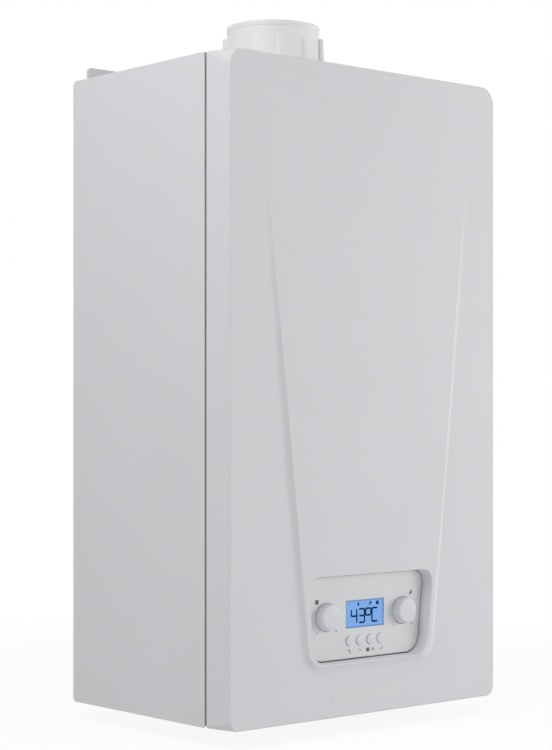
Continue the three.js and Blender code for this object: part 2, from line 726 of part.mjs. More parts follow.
// Outline of the control opening, grown by a margin, at a depth behind the crest.
function pocketOutline(grow, depth) {
  const lean = depth / FASCIA_DEPTH;
  const side = grow - POCKET_DRAFT_SIDE * lean;
  const end = grow - POCKET_DRAFT_END * lean;
  const [low, high] = [POCKET_BOTTOM - end, POCKET_TOP + end];
  const [wide, narrow] = [POCKET_HALF_TOP + side, POCKET_HALF_BOTTOM + side];
  const [rTop, rBottom] = [POCKET_RADIUS_TOP + grow, POCKET_RADIUS_BOTTOM + grow];
  return rounded([
    [-narrow, low, rBottom], [narrow, low, rBottom], [wide, high, rTop], [-wide, high, rTop],
  ]);
}

// Drafted as far as the fascia's face, then straight.
function pocketBody(grow, from, to) {
  return loft([from, FASCIA_DEPTH, to].map((depth) => (
    upright(pocketOutline(grow, Math.min(depth, FASCIA_DEPTH)), crestY + depth)
  )));
}

function frontCover() {
  const outer = [upright(coverOutline(0, COVER_SEAM_CORNER), rimY)];
  const inner = [];
  const wall = COVER_WALL;
  inner.push(upright(coverOutline(wall, COVER_SEAM_CORNER), rimY - wall));
  for (let k = 0; k <= 3; k += 1) {
    const angle = (Math.PI / 2) * (k / 3);
    const draw = COVER_EDGE * (1 - Math.cos(angle));
    const y = faceY + COVER_EDGE * (1 - Math.sin(angle));
    outer.push(upright(coverOutline(draw, COVER_CORNER - draw), y));
    const bend = COVER_EDGE - wall;
    const innerDraw = wall + bend * (1 - Math.cos(angle));
    const innerY = faceY + wall + bend * (1 - Math.sin(angle));
    inner.push(upright(coverOutline(innerDraw, COVER_CORNER - innerDraw), innerY));
  }
  const mouth = wall + COVER_RETURN;
  const shield = toSolid(shieldBody(0, 0, faceY + wall / 2));
  const hollow = toSolid(shieldBody(wall, wall, faceY + wall + 1));
  const rear = block(
    -halfWidth + mouth, halfWidth - mouth, rimY - wall - 1, rimY + 1, mouth, CASE_HEIGHT - mouth,
  );
  const collar = toSolid(pocketBody(wall, 1, FASCIA_DEPTH + 3));
  let cover = toSolid(loft(outer)).add(shield).subtract(toSolid(loft(inner)));
  cover = cover.subtract(hollow).subtract(toSolid(rear)).add(collar);
  cover = cover.subtract(toSolid(pocketBody(0, -2, FASCIA_DEPTH + 6)));
  for (const sign of [-1, 1]) {
    const hole = bar('z', SCREW_SHANK + FIT, -1, wall + 1, sign * screwX, screwY);
    const seat = SCREW_HEAD + FIT;
    const sink = bar('z', seat, -0.01, wall - SCREW_LAND, sign * screwX, screwY);
    cover = cover.subtract(toSolid(hole)).subtract(toSolid(sink));
  }
  const seatY = [faceY - 1, faceY + BADGE_THICK];
  const half = BADGE_HALF + 0.4;
  const tall = BADGE_HEIGHT / 2 + 0.4;
  const recess = block(-half, half, ...seatY, BADGE_Z - tall, BADGE_Z + tall);
  cover = cover.subtract(toSolid(recess));
  return toGeometry(cover);
}

function badgePlate() {
  const [x, z] = [BADGE_HALF, BADGE_HEIGHT / 2];
  const outline = rounded([[-x, -z, 2], [x, -z, 2], [x, z, 2], [-x, z, 2]], 3);
  return plate(outline, -BADGE_THICK, 0);
}

function coverScrew() {
  const head = COVER_WALL - SCREW_LAND - FIT;
  const slot = block(-0.6, 0.6, -SCREW_HEAD - 1, SCREW_HEAD + 1, -1, 0.5);
  return shaped(
    [bar('z', SCREW_HEAD, 0, head), bar('z', SCREW_SHANK, head / 2, SCREW_LENGTH)],
    [slot],
  );
}

place(boiler, 'back_frame', backFrame(), zincSteel);
place(boiler, 'left_side_panel', sidePanel(-1), whitePaint);
place(boiler, 'right_side_panel', sidePanel(1), whitePaint);
place(boiler, 'top_plate', topPlate(), whitePaint);
place(boiler, 'bottom_plate', bottomPlate(), zincSteel);
place(boiler, 'case_gasket', caseGasket(), rubber);
place(boiler, 'front_cover', frontCover(), whitePaint);
place(boiler, 'badge_plate', badgePlate(), whitePlastic, 0, faceY + BADGE_THICK - FIT, BADGE_Z);
place(boiler, 'cover_screw_left', coverScrew(), zincSteel, -screwX, screwY, 0);
place(boiler, 'cover_screw_right', coverScrew(), zincSteel, screwX, screwY, 0);

// ---- flue, with its own origin on the casing top ----
const flue = new THREE.Group();
flue.position.set(0, -FLUE_Y, CASE_HEIGHT);
boiler.add(flue);

function flueCollar() {
  const base = FIT;
  const flangeTop = base + COLLAR_FLANGE_THICK;
  const sealLow = COLLAR_HEIGHT - 4 - SEAL_HEIGHT - 2 * FIT;
  const groove = COLLAR_BORE + 1.2 + FIT;
  const profile = [
    [COLLAR_BORE, base], [COLLAR_FLANGE, base], [COLLAR_FLANGE, flangeTop],
    [COLLAR_RADIUS + 1, flangeTop], [COLLAR_RADIUS, COLLAR_HEIGHT - 1],
    [COLLAR_RADIUS - 1, COLLAR_HEIGHT], [COLLAR_BORE + 0.6, COLLAR_HEIGHT],
    [COLLAR_BORE, COLLAR_HEIGHT - 1], [COLLAR_BORE, COLLAR_HEIGHT - 4],
    [groove, COLLAR_HEIGHT - 4], [groove, sealLow], [COLLAR_BORE, sealLow],
    [COLLAR_BORE, base],
  ];
  let collar = toSolid(turned(profile, WIDE));
  const padRadius = COLLAR_RADIUS + COLLAR_PAD;
  const cone = toSolid(bar('z', padRadius + 1.2, base, COLLAR_PAD_TOP, 0, 0, WIDE, padRadius));
  const inside = toSolid(bar('z', COLLAR_RADIUS - 1, 0, COLLAR_PAD_TOP + 1, 0, 0, WIDE));
  for (const angle of COLLAR_PAD_ANGLES) {
    const half = COLLAR_PAD_WIDTH / 2;
    const pad = block(-half, half, -padRadius - 5, 0, base, COLLAR_PAD_TOP);
    pad.rotateZ(-THREE.MathUtils.degToRad(angle));
    collar = collar.add(toSolid(pad).intersect(cone).subtract(inside));
  }
  return toGeometry(collar);
}

function lipSeal() {
  const low = COLLAR_HEIGHT - 4 - SEAL_HEIGHT - FIT;
  const high = low + SEAL_HEIGHT;
  const outside = COLLAR_BORE + 1.2;
  const inside = COLLAR_BORE - SEAL_DEPTH;
  return turned([
    [inside + 0.8, low], [outside, low], [outside, high], [inside + 0.8, high],
    [inside, (low + high) / 2], [inside + 0.8, low],
  ], WIDE);
}

const ductTop = -20; // joint between duct and socket pipe, below the casing top

function flueInnerPipe() {
  const bore = FLUE_RADIUS - FLUE_WALL;
  const top = COLLAR_HEIGHT - FLUE_BELOW_RIM;
  const neck = top - SOCKET_DEPTH;
  const socket = FLUE_RADIUS + FLUE_SOCKET;
  const profile = [
    [bore, ductTop + FIT], [FLUE_RADIUS, ductTop + FIT], [FLUE_RADIUS, neck - 6],
    [socket, neck], [socket, top], [socket - FLUE_WALL, top],
    [socket - FLUE_WALL, neck], [bore, neck - 6], [bore, ductTop + FIT],
  ];
  const pieces = [turned(profile)];
  for (const angle of [90, 210, 330]) {
    const web = block(FLUE_RADIUS - 0.7, COLLAR_BORE - FIT, -1, 1, 6, neck - 8);
    pieces.push(web.rotateZ(THREE.MathUtils.degToRad(angle)));
  }
  return shaped(pieces);
}

const ductBottom = cellZ + CELL_RADIUS + CELL_OUTLET - CASE_HEIGHT; // top of the cell's outlet

function flueDuct() {
  const bore = FLUE_RADIUS - FLUE_WALL;
  const low = ductBottom + FIT;
  const flange = FLUE_RADIUS + 5;
  return turned([
    [bore, low], [flange, low], [flange, low + 3], [FLUE_RADIUS, low + 3],
    [FLUE_RADIUS, ductTop], [bore, ductTop], [bore, low],
  ]);
}

place(flue, 'flue_collar', flueCollar(), whitePlastic);
place(flue, 'collar_lip_seal', lipSeal(), rubber);
place(flue, 'flue_inner_pipe', flueInnerPipe(), castAluminium);
place(flue, 'flue_duct', flueDuct(), blackPlastic);

// ---- condensing cell, with its own origin on the cell's axis at the wall ----
const cell = new THREE.Group();
cell.position.set(0, 0, cellZ);
boiler.add(cell);

const electrodeX = -ELECTRODE_OUT;
const coilRear = cellRear - CELL_WALL - COIL_TUBE - 10;
const coilFront = cellFront + COIL_TUBE + 14;
const coilEnd = CELL_RADIUS + COIL_STUB; // coil ends, left and right of the axis

function cellShell() {
  const outlet = CELL_RADIUS + CELL_OUTLET;
  const pieces = [
    bar('y', CELL_RADIUS, cellFront, cellRear, 0, 0, WIDE),
    bar('y', CELL_RADIUS + CELL_RIM, cellFront, cellFront + 4, 0, 0, WIDE),
    bar('z', FLUE_RADIUS + 3, 0, outlet, 0, -FLUE_Y, ROUND),
    bar('z', DRAIN_RADIUS, -CELL_RADIUS - DRAIN_DROP, 0, 0, trapY),
  ];
  const cuts = [
    bar('y', CELL_RADIUS - CELL_WALL, cellFront - 1, cellRear - CELL_WALL, 0, 0, WIDE),
    bar('z', FLUE_RADIUS - FLUE_WALL, 0, outlet + 1, 0, -FLUE_Y, ROUND),
    bar('z', DRAIN_BORE, -CELL_RADIUS - DRAIN_DROP - 1, 0, 0, trapY),
    bar('x', COIL_TUBE + 0.5, 0, coilEnd + 5, coilFront, -COIL_TURN),
    bar('x', COIL_TUBE + 0.5, -coilEnd - 5, 0, coilRear, -COIL_TURN),
  ];
  return shaped(pieces, cuts);
}

// Tube that enters low on the right at the front, winds round and leaves low on the left.
function cellCoil() {
  const path = [new THREE.Vector3(coilEnd, coilFront, -COIL_TURN)];
  const perTurn = 12;
  const count = COIL_TURNS * perTurn;
  for (let i = 0; i <= count; i += 1) {
    const angle = (2 * Math.PI * i) / perTurn;
    const y = coilFront + ((coilRear - coilFront) * i) / count;
    path.push(new THREE.Vector3(-COIL_TURN * Math.sin(angle), y, -COIL_TURN * Math.cos(angle)));
  }
  path.push(new THREE.Vector3(-coilEnd, coilRear, -COIL_TURN));
  return sweep(path, COIL_TUBE - FIT, 6);
}

const elbowY = fanRear - FAN_DEPTH / 2; // plane of the mixture elbow
const toFan = new THREE.Vector2(fanX, fanZ - cellZ);
const elbowEnd = toFan.clone().setLength(toFan.length() - FAN_RADIUS - FAN_NECK);

function tiltedBar(radius, from, to, y, sides = SMALL) {
  const run = to.clone().sub(from);
  const geometry = bar('x', radius, 0, run.length(), 0, 0, sides);
  return geometry.rotateY(-run.angle()).translate(from.x, y, from.y);
}

// Cast door with the elbow that brings the gas-air mixture from the fan.
function burnerDoor() {
  const centre = new THREE.Vector2();
  const bore = ELBOW_RADIUS - ELBOW_WALL;
  const deep = cellFront - FIT;
  const inside = elbowEnd.clone().setLength(elbowEnd.length() + 1);
  const ball = (radius) => (
    new THREE.SphereGeometry(radius, SMALL, 8).rotateX(Math.PI / 2).translate(0, elbowY, 0)
  );
  const pieces = [
    bar('y', CELL_RADIUS + CELL_RIM, doorFront, deep, 0, 0, WIDE),
    bar('y', ELBOW_RADIUS, elbowY, deep),
    ball(ELBOW_RADIUS),
    tiltedBar(ELBOW_RADIUS, centre, elbowEnd, elbowY),
  ];
  const cuts = [
    bar('y', bore, elbowY, deep + 1),
    ball(bore),
    tiltedBar(bore, centre, inside, elbowY),
    bar('y', ELECTRODE_RADIUS + 0.4, doorFront - 1, deep + 1, electrodeX, 0),
  ];
  return shaped(pieces, cuts);
}

function burner() {
  const front = cellFront;
  const rear = cellFront + BURNER_LENGTH;
  const profile = [
    [BURNER_RADIUS + 8, 0], [BURNER_RADIUS + 8, 1.5], [BURNER_RADIUS, 1.5],
    [BURNER_RADIUS, rear - front], [0, rear - front], [0, rear - front - 1.5],
    [BURNER_RADIUS - 1.5, rear - front - 1.5], [BURNER_RADIUS - 1.5, 0],
    [BURNER_RADIUS + 8, 0],
  ];
  return turned(profile, 20).rotateX(-Math.PI / 2).translate(0, front, 0);
}

function ignitionElectrode() {
  const y = [doorFront - ELECTRODE_FRONT, cellFront + ELECTRODE_REACH];
  return shaped([
    bar('y', ELECTRODE_RADIUS, y[0], cellFront + 8),
    bar('y', 1.2, y[0] + 4, y[1], 0, 0, 8),
  ]);
}

place(cell, 'cell_shell', cellShell(), stainless);
place(cell, 'cell_coil', cellCoil(), stainless);
place(cell, 'burner_door', burnerDoor(), castAluminium);
place(cell, 'burner', burner(), stainless);
place(cell, 'ignition_electrode', ignitionElectrode(), ceramic, electrodeX, 0, 0);

// ---- fan, with its own origin on the shaft ----
const fan = new THREE.Group();
fan.position.set(fanX, 0, fanZ);
boiler.add(fan);
const impellerRadius = FAN_RADIUS - FAN_WALL - 7;

function fanHousing() {
  const mouth = elbowEnd.clone().sub(toFan);
  const reach = mouth.clone().setLength(mouth.length() - FIT);
  const centre = new THREE.Vector2();
  const beyond = reach.clone().setLength(reach.length() + 1);
  const bore = ELBOW_RADIUS - ELBOW_WALL;
  return shaped(
    [
      bar('y', FAN_RADIUS, fanFront, fanRear, 0, 0, ROUND),
      tiltedBar(ELBOW_RADIUS, centre, reach, elbowY),
    ],
    [
      bar('y', FAN_RADIUS - FAN_WALL, fanFront + FAN_WALL, fanRear - FAN_WALL, 0, 0, ROUND),
      tiltedBar(bore, centre, beyond, elbowY),
      bar('y', MIXER_RADIUS - 6, fanRear - FAN_WALL - 1, fanRear + 1, 0, 0, 24),
      bar('y', 5, fanFront - 1, fanFront + FAN_WALL + 1),
    ],
  );
}

function fanImpeller() {
  const [front, rear] = [fanFront + FAN_WALL + 3, fanRear - FAN_WALL - 4];
  const pieces = [
    bar('y', impellerRadius, front, front + 2, 0, 0, ROUND),
    bar('y', 10, front, rear - 6),
    bar('y', 3, fanFront - MOTOR_DEPTH / 2, front + 1, 0, 0, 8),
  ];
  for (let i = 0; i < FAN_BLADES; i += 1) {
    const blade = block(16, impellerRadius - 0.5, front + 1, rear, -0.9, 0.9);
    blade.rotateY((2 * Math.PI * i) / FAN_BLADES);
    pieces.push(blade);
  }
  return shaped(pieces);
}

function fanMotor() {
  const [front, rear] = [fanFront - FIT - MOTOR_DEPTH, fanFront - FIT];
  return shaped(
    [
      bar('y', MOTOR_RADIUS, front + 3, rear, 0, 0, 28),
      bar('y', MOTOR_RADIUS - 4, front, rear, 0, 0, 28),
    ],
    [bar('y', 3.8, fanFront - MOTOR_DEPTH / 2 - 3, rear + 1, 0, 0, 8)],
  );
}

const mixerRear = fanRear + FIT + MIXER_LENGTH;
const stubEnd = -MIXER_RADIUS - 12;
const mixerStubY = fanRear + FIT + MIXER_LENGTH / 2;

function gasAirMixer() {
  const [front, rear] = [fanRear + FIT, mixerRear];
  const waist = MIXER_RADIUS - 10;
  const length = rear - front;
  const outer = [
    [0, 0], [MIXER_RADIUS, 0], [MIXER_RADIUS, 4], [waist + 4, 12],
    [waist + 4, length - 18], [MIXER_RADIUS, length], [0, length],
  ];
  const inner = [
    [0, -1], [MIXER_RADIUS - 6, -1], [waist, 14], [waist, length - 16],
    [MIXER_RADIUS - 3, length + 1], [0, length + 1],
  ];
  const turn = (profile) => (
    turned(profile, 20).rotateX(-Math.PI / 2).translate(0, front, 0)
  );
  return shaped(
    [turn(outer), bar('x', GAS_PIPE + 2, stubEnd, 0, mixerStubY, 0)],
    [turn(inner), bar('x', GAS_PIPE - 2, stubEnd - 1, 0, mixerStubY, 0)],
  );
}

place(fan, 'fan_housing', fanHousing(), castAluminium);
place(fan, 'fan_impeller', fanImpeller(), blackPlastic);
place(fan, 'fan_motor', fanMotor(), blackPlastic);
place(fan, 'gas_air_mixer', gasAirMixer(), greyPlastic);

// ---- gas valve and gas pipes ----
const valveX = -(CELL_RADIUS + CELL_RIM + ROOM + VALVE_WIDTH / 2 + 12);
const valveY = cellFront + VALVE_DEPTH / 2 - 8;
const valveTop = cellZ - 20;
const valveBottom = valveTop - VALVE_HEIGHT;

function gasValve() {
  const [x, y] = [VALVE_WIDTH / 2, VALVE_DEPTH / 2];
  return shaped(
    [
      block(-x, x, -y, y, 12, VALVE_HEIGHT - 12),
      bar('z', 12, 0, 14), bar('z', 12, VALVE_HEIGHT - 14, VALVE_HEIGHT),
      bar('y', 14, -y - 16, -y + 1, 0, VALVE_HEIGHT * 0.62),
      bar('y', 9, -y - 12, -y + 1, -14, VALVE_HEIGHT * 0.28),
    ],
    [
      bar('z', GAS_PIPE - 2, -1, 20), bar('z', GAS_PIPE - 2, VALVE_HEIGHT - 20, VALVE_HEIGHT + 1),
      block(-x - 1, -x + 4, -y - 1, y + 1, VALVE_HEIGHT / 2 - 2, VALVE_HEIGHT / 2 + 2),
    ],
  );
}

const unionTop = blockBottom - FIT;
const gasTurn = blockTop + GAS_RISE; // where the supply pipe leaves the middle
const gasSupply = [
  [0, -UNION_Y, unionTop + FIT], [0, -UNION_Y, gasTurn],
  [valveX, valveY, valveBottom - GAS_TURN], [valveX, valveY, valveBottom - FIT],
];
const feedEnd = fanX + stubEnd - FIT;
const gasFeed = [
  [valveX, valveY, valveTop + FIT], [valveX, valveY, fanZ - 0.75 * FEED_TURN],
  [valveX + FEED_TURN, mixerStubY, fanZ], [feedEnd, mixerStubY, fanZ],
];
place(boiler, 'gas_valve', gasValve(), castAluminium, valveX, valveY, valveBottom);
place(boiler, 'gas_supply_pipe', pipe(gasSupply, GAS_PIPE, PIPE_WALL), copper);
place(boiler, 'gas_feed_pipe', pipe(gasFeed, GAS_PIPE, PIPE_WALL), copper);

// ---- hydraulics ----
const pumpX = fillX;
const pumpZ = blockTop + PUMP_NECK + PUMP_RADIUS;
const pumpRear = blockRear - PUMP_INSET;
const pumpFront = pumpRear - PUMP_DEPTH;
const pumpTop = pumpZ + PUMP_RADIUS + PUMP_PORT;
const vesselTop = CASE_HEIGHT - CASE_TOP - HOOK_DROP - VESSEL_DROP;
const vesselBottom = vesselTop - VESSEL_HEIGHT;
const nippleX = 2 * UNION_PITCH + BLOCK_END - HOSE - 6;
const nippleY = (vesselRear + vesselFront) / 2;
const nippleEnd = vesselBottom - VESSEL_NIPPLE;
const vesselPort = VESSEL_WIDTH / 2 - VESSEL_CORNER;

// Flat pressed vessel; shrink gives the hollow inside.
function vesselBody(shrink) {
  const ring = (inset, y) => {
    const x = VESSEL_WIDTH / 2 - inset;
    const [low, high] = [vesselBottom + inset, vesselTop - inset];
    const radius = VESSEL_CORNER - inset;
    return upright(rounded([
      [-x, low, radius], [x, low, radius], [x, high, radius], [-x, high, radius],
    ]), y);
  };
  return loft([
    ring(VESSEL_INSET + shrink, vesselRear - shrink), ring(shrink, vesselRear - VESSEL_DOME),
    ring(shrink, vesselFront + VESSEL_DOME), ring(VESSEL_INSET + shrink, vesselFront + shrink),
  ]);
}

function expansionVessel() {
  const inside = vesselBottom + VESSEL_WALL + 1;
  return shaped(
    [vesselBody(0), bar('z', HOSE + 1, nippleEnd, inside, vesselPort, nippleY)],
    [vesselBody(VESSEL_WALL), bar('z', HOSE - 2, nippleEnd - 1, inside + 1, vesselPort, nippleY)],
  );
}

const hoseDrop = pumpTop + HOSE_RISE;
const expansionHose = [
  [vesselPort, nippleY, nippleEnd - FIT], [vesselPort, nippleY, nippleEnd - HOSE_RUN],
  [nippleX, -UNION_Y, hoseDrop], [nippleX, -UNION_Y, blockTop + FIT],
];

function hydraulicBlock(sign, extra, cuts) {
  const ends = [sign * (UNION_PITCH - BLOCK_END + 4), sign * (2 * UNION_PITCH + BLOCK_END)];
  const [x0, x1] = ordered(...ends);
  const ports = [1, 2].map((step) => sign * step * UNION_PITCH);
  const pieces = [block(x0, x1, blockFront + 8, blockRear - 8, blockBottom + 6, blockTop)];
  const bores = [];
  for (const x of ports) {
    pieces.push(bar('z', 16, blockBottom, blockTop - 4, x, -UNION_Y));
    bores.push(bar('z', UNION_BORE, blockBottom - 1, blockTop - 12, x, -UNION_Y));
    pieces.push(bar('y', 12, blockRear - 9, exchangerFront - FIT, x * 0.99, exchangerZ));
    bores.push(bar('y', 6, blockRear - 12, exchangerFront + 1, x * 0.99, exchangerZ, 12));
  }
  return shaped([...pieces, ...extra], [...bores, ...cuts]);
}

const exchangerRear = vesselRear - 6;
const exchangerFront = exchangerRear - EXCHANGER_DEPTH;
const exchangerZ = (blockBottom + blockTop) / 2 + 4;

function plateHeatExchanger() {
  const x = EXCHANGER_WIDTH / 2;
  const low = blockBottom + 2;
  const high = low + EXCHANGER_HEIGHT;
  const core = [exchangerFront + 1, exchangerRear - 1];
  const pieces = [block(-x + 3, x - 3, ...core, low + 3, high - 3)];
  const pitch = EXCHANGER_DEPTH / EXCHANGER_PLATES;
  for (let i = 0; i < EXCHANGER_PLATES; i += 1) {
    const y = exchangerFront + i * pitch;
    pieces.push(block(-x, x, y, y + pitch * 0.55, low, high));
  }
  return shaped(pieces);
}

const actuatorX = -2 * UNION_PITCH - 4;
const reliefX = -UNION_PITCH - 6;
const reliefSeat = blockFront - RELIEF_REACH;

function flowBlock() {
  const relief = bar('y', RELIEF_RADIUS, reliefSeat, blockFront + 20, reliefX, exchangerZ);
  const seat = bar('z', 15, blockTop - 6, blockTop + SEAT_RISE, actuatorX, -UNION_Y);
  const clear = SPINDLE_RADIUS + SPINDLE_CLEAR;
  const bore = bar('z', clear, blockTop - 10, blockTop + 4, actuatorX, -UNION_Y, 12);
  const shaft = bar('y', 4.4, reliefSeat - 1, blockFront + 12, reliefX, exchangerZ, 12);
  return hydraulicBlock(-1, [relief, seat], [bore, shaft]);
}

function returnBlock() {
  const seat = bar('z', PORT_RADIUS, blockTop - 6, blockTop + SEAT_RISE, pumpX, -UNION_Y);
  const port = bar('z', PORT_BORE, blockTop - 8, blockTop + SEAT_RISE + 1, pumpX, -UNION_Y);
  const tap = bar('z', 9, blockBottom, blockTop - 4, fillX, -UNION_Y);
  const shaft = bar('z', 3.4, blockBottom - 1, blockBottom + 12, fillX, -UNION_Y, 12);
  return hydraulicBlock(1, [seat, tap], [port, shaft]);
}

function pumpBody() {
  const low = blockTop + SEAT_RISE + FIT;
  const mid = -UNION_Y;
  return shaped(
    [
      bar('y', PUMP_RADIUS, pumpFront, pumpRear, pumpX, pumpZ, ROUND),
      bar('z', PORT_RADIUS, low, pumpZ, pumpX, mid),
      bar('z', PORT_RADIUS, pumpZ, pumpTop, pumpX, mid),
    ],
    [
      bar('y', PUMP_RADIUS - PUMP_WALL, pumpFront - 1, pumpRear - PUMP_WALL, pumpX, pumpZ, ROUND),
      bar('z', PORT_BORE, low - 1, pumpZ, pumpX, mid),
      bar('z', PORT_BORE, pumpZ, pumpTop + 1, pumpX, mid),
    ],
  );
}

const pumpGlandY = pumpFront - FIT;
const pumpMotorFront = boxRear + FIT + LID_GRIP + PUMP_ROOM;
const pumpMotorDepth = pumpGlandY - pumpMotorFront;
const pumpShaft = pumpMotorDepth / 2;

function pumpMotor() {
  const front = pumpMotorFront;
  const terminal = pumpMotorDepth / 5;
  return shaped(
    [
      bar('y', PUMP_RADIUS, pumpGlandY - PUMP_FLANGE, pumpGlandY, 0, 0, ROUND),
      bar('y', PUMP_MOTOR_RADIUS, front + 3, pumpGlandY - 2, 0, 0, ROUND),
      bar('y', PUMP_MOTOR_RADIUS - 4, front, pumpGlandY - 2, 0, 0, ROUND),
      block(-PUMP_MOTOR_RADIUS - 2, -10, front + terminal, pumpGlandY - terminal, -22, 22),
    ],
    [bar('y', 3.8, pumpGlandY - pumpShaft - 3, pumpGlandY + 1, 0, 0, 8)],
  );
}

function pumpImpeller() {
  const radius = PUMP_RADIUS - PUMP_WALL - 5;
  const [front, rear] = [pumpFront + 5, pumpRear - PUMP_WALL - 5];
  const pieces = [
    bar('y', radius, front, front + 2.5, 0, 0, 28),
    bar('y', 3, pumpGlandY - pumpShaft + 1, front + 1, 0, 0, 8), bar('y', 9, front, rear - 4),
  ];
  for (let i = 0; i < PUMP_VANES; i += 1) {
    const vane = block(8, radius - 0.5, front + 1, rear - 8, -1.2, 1.2);
    pieces.push(vane.rotateY((2 * Math.PI * i) / PUMP_VANES));
  }
  return shaped(pieces);
}

const ventReach = PUMP_RADIUS - 14; // vent's place left of the pump's middle

// Stands with its stem on the round of the pump body.
function airVent() {
  const stemFoot = Math.sqrt(PUMP_RADIUS ** 2 - (ventReach - VENT_STEM) ** 2) + FIT;
  const low = stemFoot + 6;
  return shaped([
    bar('z', VENT_RADIUS, low, low + VENT_HEIGHT),
    bar('z', VENT_RADIUS - 4, low + VENT_HEIGHT - 1, low + VENT_HEIGHT + VENT_CAP),
    bar('z', VENT_STEM, stemFoot, low + 1),
  ]);
}

function diverterActuator() {
  const low = blockTop + SEAT_RISE + FIT;
  const foot = low + ACTUATOR_FOOT;
  const [x, y] = [ACTUATOR_WIDTH / 2, ACTUATOR_DEPTH / 2];
  return shaped(
    [block(-x, x, -y, y, foot, foot + ACTUATOR_HEIGHT), bar('z', x / 1.5, low, foot + 2)],
    [bar('z', SPINDLE_RADIUS + SPINDLE_CLEAR, low - 1, foot + SPINDLE_REACH, 0, 0, 12)],
  );
}

function diverterSpindle() {
  return shaped([
    bar('z', SPINDLE_RADIUS, blockTop - SPINDLE_DROP, blockTop + SPINDLE_REACH - 2, 0, 0, 12),
    bar('z', SPINDLE_RADIUS + SPINDLE_COLLAR, blockTop + 12, blockTop + 16, 0, 0, 12),
  ]);
}

// Round hand knob with flutes, its face towards -Y and its stem towards +Y.
function handKnob({ radius, height, shaft, stem }) {
  const flutes = [];
  for (let i = 0; i < 8; i += 1) {
    const angle = (2 * Math.PI * i) / 8;
    const [x, z] = [Math.cos(angle), Math.sin(angle)].map((v) => v * (radius + 1.6));
    flutes.push(bar('y', 3, -height - 1, 1, x, z, 6));
  }
  return shaped(
    [bar('y', radius, -height, 0, 0, 0, ROUND), bar('y', shaft, -1, stem)],
    flutes,
  );
}

const fillKnobTop = PIPE_SPACE - FILL_DROP;
const fillStem = blockBottom - fillKnobTop + FILL_GRIP;

const flowEnd = -coilEnd - FIT;
const flowPort = -UNION_PITCH - FLOW_PORT;
const flowPipe = [
  [flowEnd, coilRear, coilZ], [flowEnd - FLOW_REACH, coilRear, coilZ],
  [flowEnd - FLOW_REACH, -UNION_Y, blockTop + FLOW_RISE], [flowPort, -UNION_Y, blockTop + FLOW_DROP],
  [flowPort, -UNION_Y, blockTop + FIT],
];
const returnStart = coilEnd + FIT;
const returnPipe = [
  [returnStart, coilFront, coilZ], [returnStart + RETURN_REACH, coilFront, coilZ],
  [returnStart + RETURN_REACH, coilFront + 4, coilZ - RETURN_DROP],
  [pumpX, -UNION_Y, pumpTop + RETURN_RISE],
  [pumpX, -UNION_Y, pumpTop + FIT],
];
const trapTop = cellZ - CELL_RADIUS - DRAIN_DROP - FIT;
const trapBottom = trapTop - TRAP_HEIGHT;
const wasteEnd = PIPE_SPACE - UNION_DROP;

function condensateTrap() {
  return shaped(
    [
      bar('z', TRAP_RADIUS, trapBottom + TRAP_FOOT, trapTop - TRAP_NECK, 0, trapY, ROUND),
      bar('z', TRAP_RADIUS - TRAP_LIP, trapTop - TRAP_NECK - 1, trapTop, 0, trapY, ROUND),
      bar('z', TRAP_RADIUS - 2 * TRAP_LIP, trapBottom, trapBottom + TRAP_FOOT + 1, 0, trapY,
        ROUND, TRAP_RADIUS - 1),
    ],
    [bar('z', DRAIN_BORE, trapTop - TRAP_WELL, trapTop + 1, 0, trapY)],
  );
}

const wasteHose = [
  [0, trapY, trapBottom - FIT], [0, trapY, trapBottom - WASTE_DROP],
  [hoseX, trapY, trapBottom - WASTE_DROP - WASTE_SIDESTEP], [hoseX, trapY, wasteEnd],
];

place(boiler, 'expansion_vessel', expansionVessel(), redPaint);
place(boiler, 'expansion_hose', pipe(expansionHose, HOSE, HOSE_WALL), stainless);
place(boiler, 'flow_block', flowBlock(), brass);
place(boiler, 'return_block', returnBlock(), brass);
place(boiler, 'plate_heat_exchanger', plateHeatExchanger(), stainless);
place(boiler, 'pump_body', pumpBody(), blackPlastic);
place(boiler, 'pump_motor', pumpMotor(), greyPlastic, pumpX, 0, pumpZ);
place(boiler, 'pump_impeller', pumpImpeller(), greyPlastic, pumpX, 0, pumpZ);
place(boiler, 'air_vent', airVent(), brass, pumpX - ventReach, -UNION_Y, pumpZ);
place(boiler, 'diverter_actuator', diverterActuator(), greyPlastic, actuatorX, -UNION_Y);
place(boiler, 'diverter_spindle', diverterSpindle(), stainless, actuatorX, -UNION_Y);
const reliefFace = reliefSeat - FIT;
const reliefKnob = handKnob(RELIEF_KNOB);
place(boiler, 'relief_knob', reliefKnob, redPlastic, reliefX, reliefFace, exchangerZ);
const fillingKnob = handKnob({ ...FILL_KNOB, stem: fillStem }).rotateX(Math.PI / 2);
place(boiler, 'filling_knob', fillingKnob, bluePlastic, fillX, -UNION_Y, fillKnobTop);
place(boiler, 'flow_pipe', pipe(flowPipe, WATER_PIPE, PIPE_WALL), copper);
place(boiler, 'return_pipe', pipe(returnPipe, WATER_PIPE, PIPE_WALL), copper);
place(boiler, 'condensate_trap', condensateTrap(), greyPlastic);
place(boiler, 'condensate_hose', pipe(wasteHose, WASTE_RADIUS, HOSE_WALL), greyPlastic);

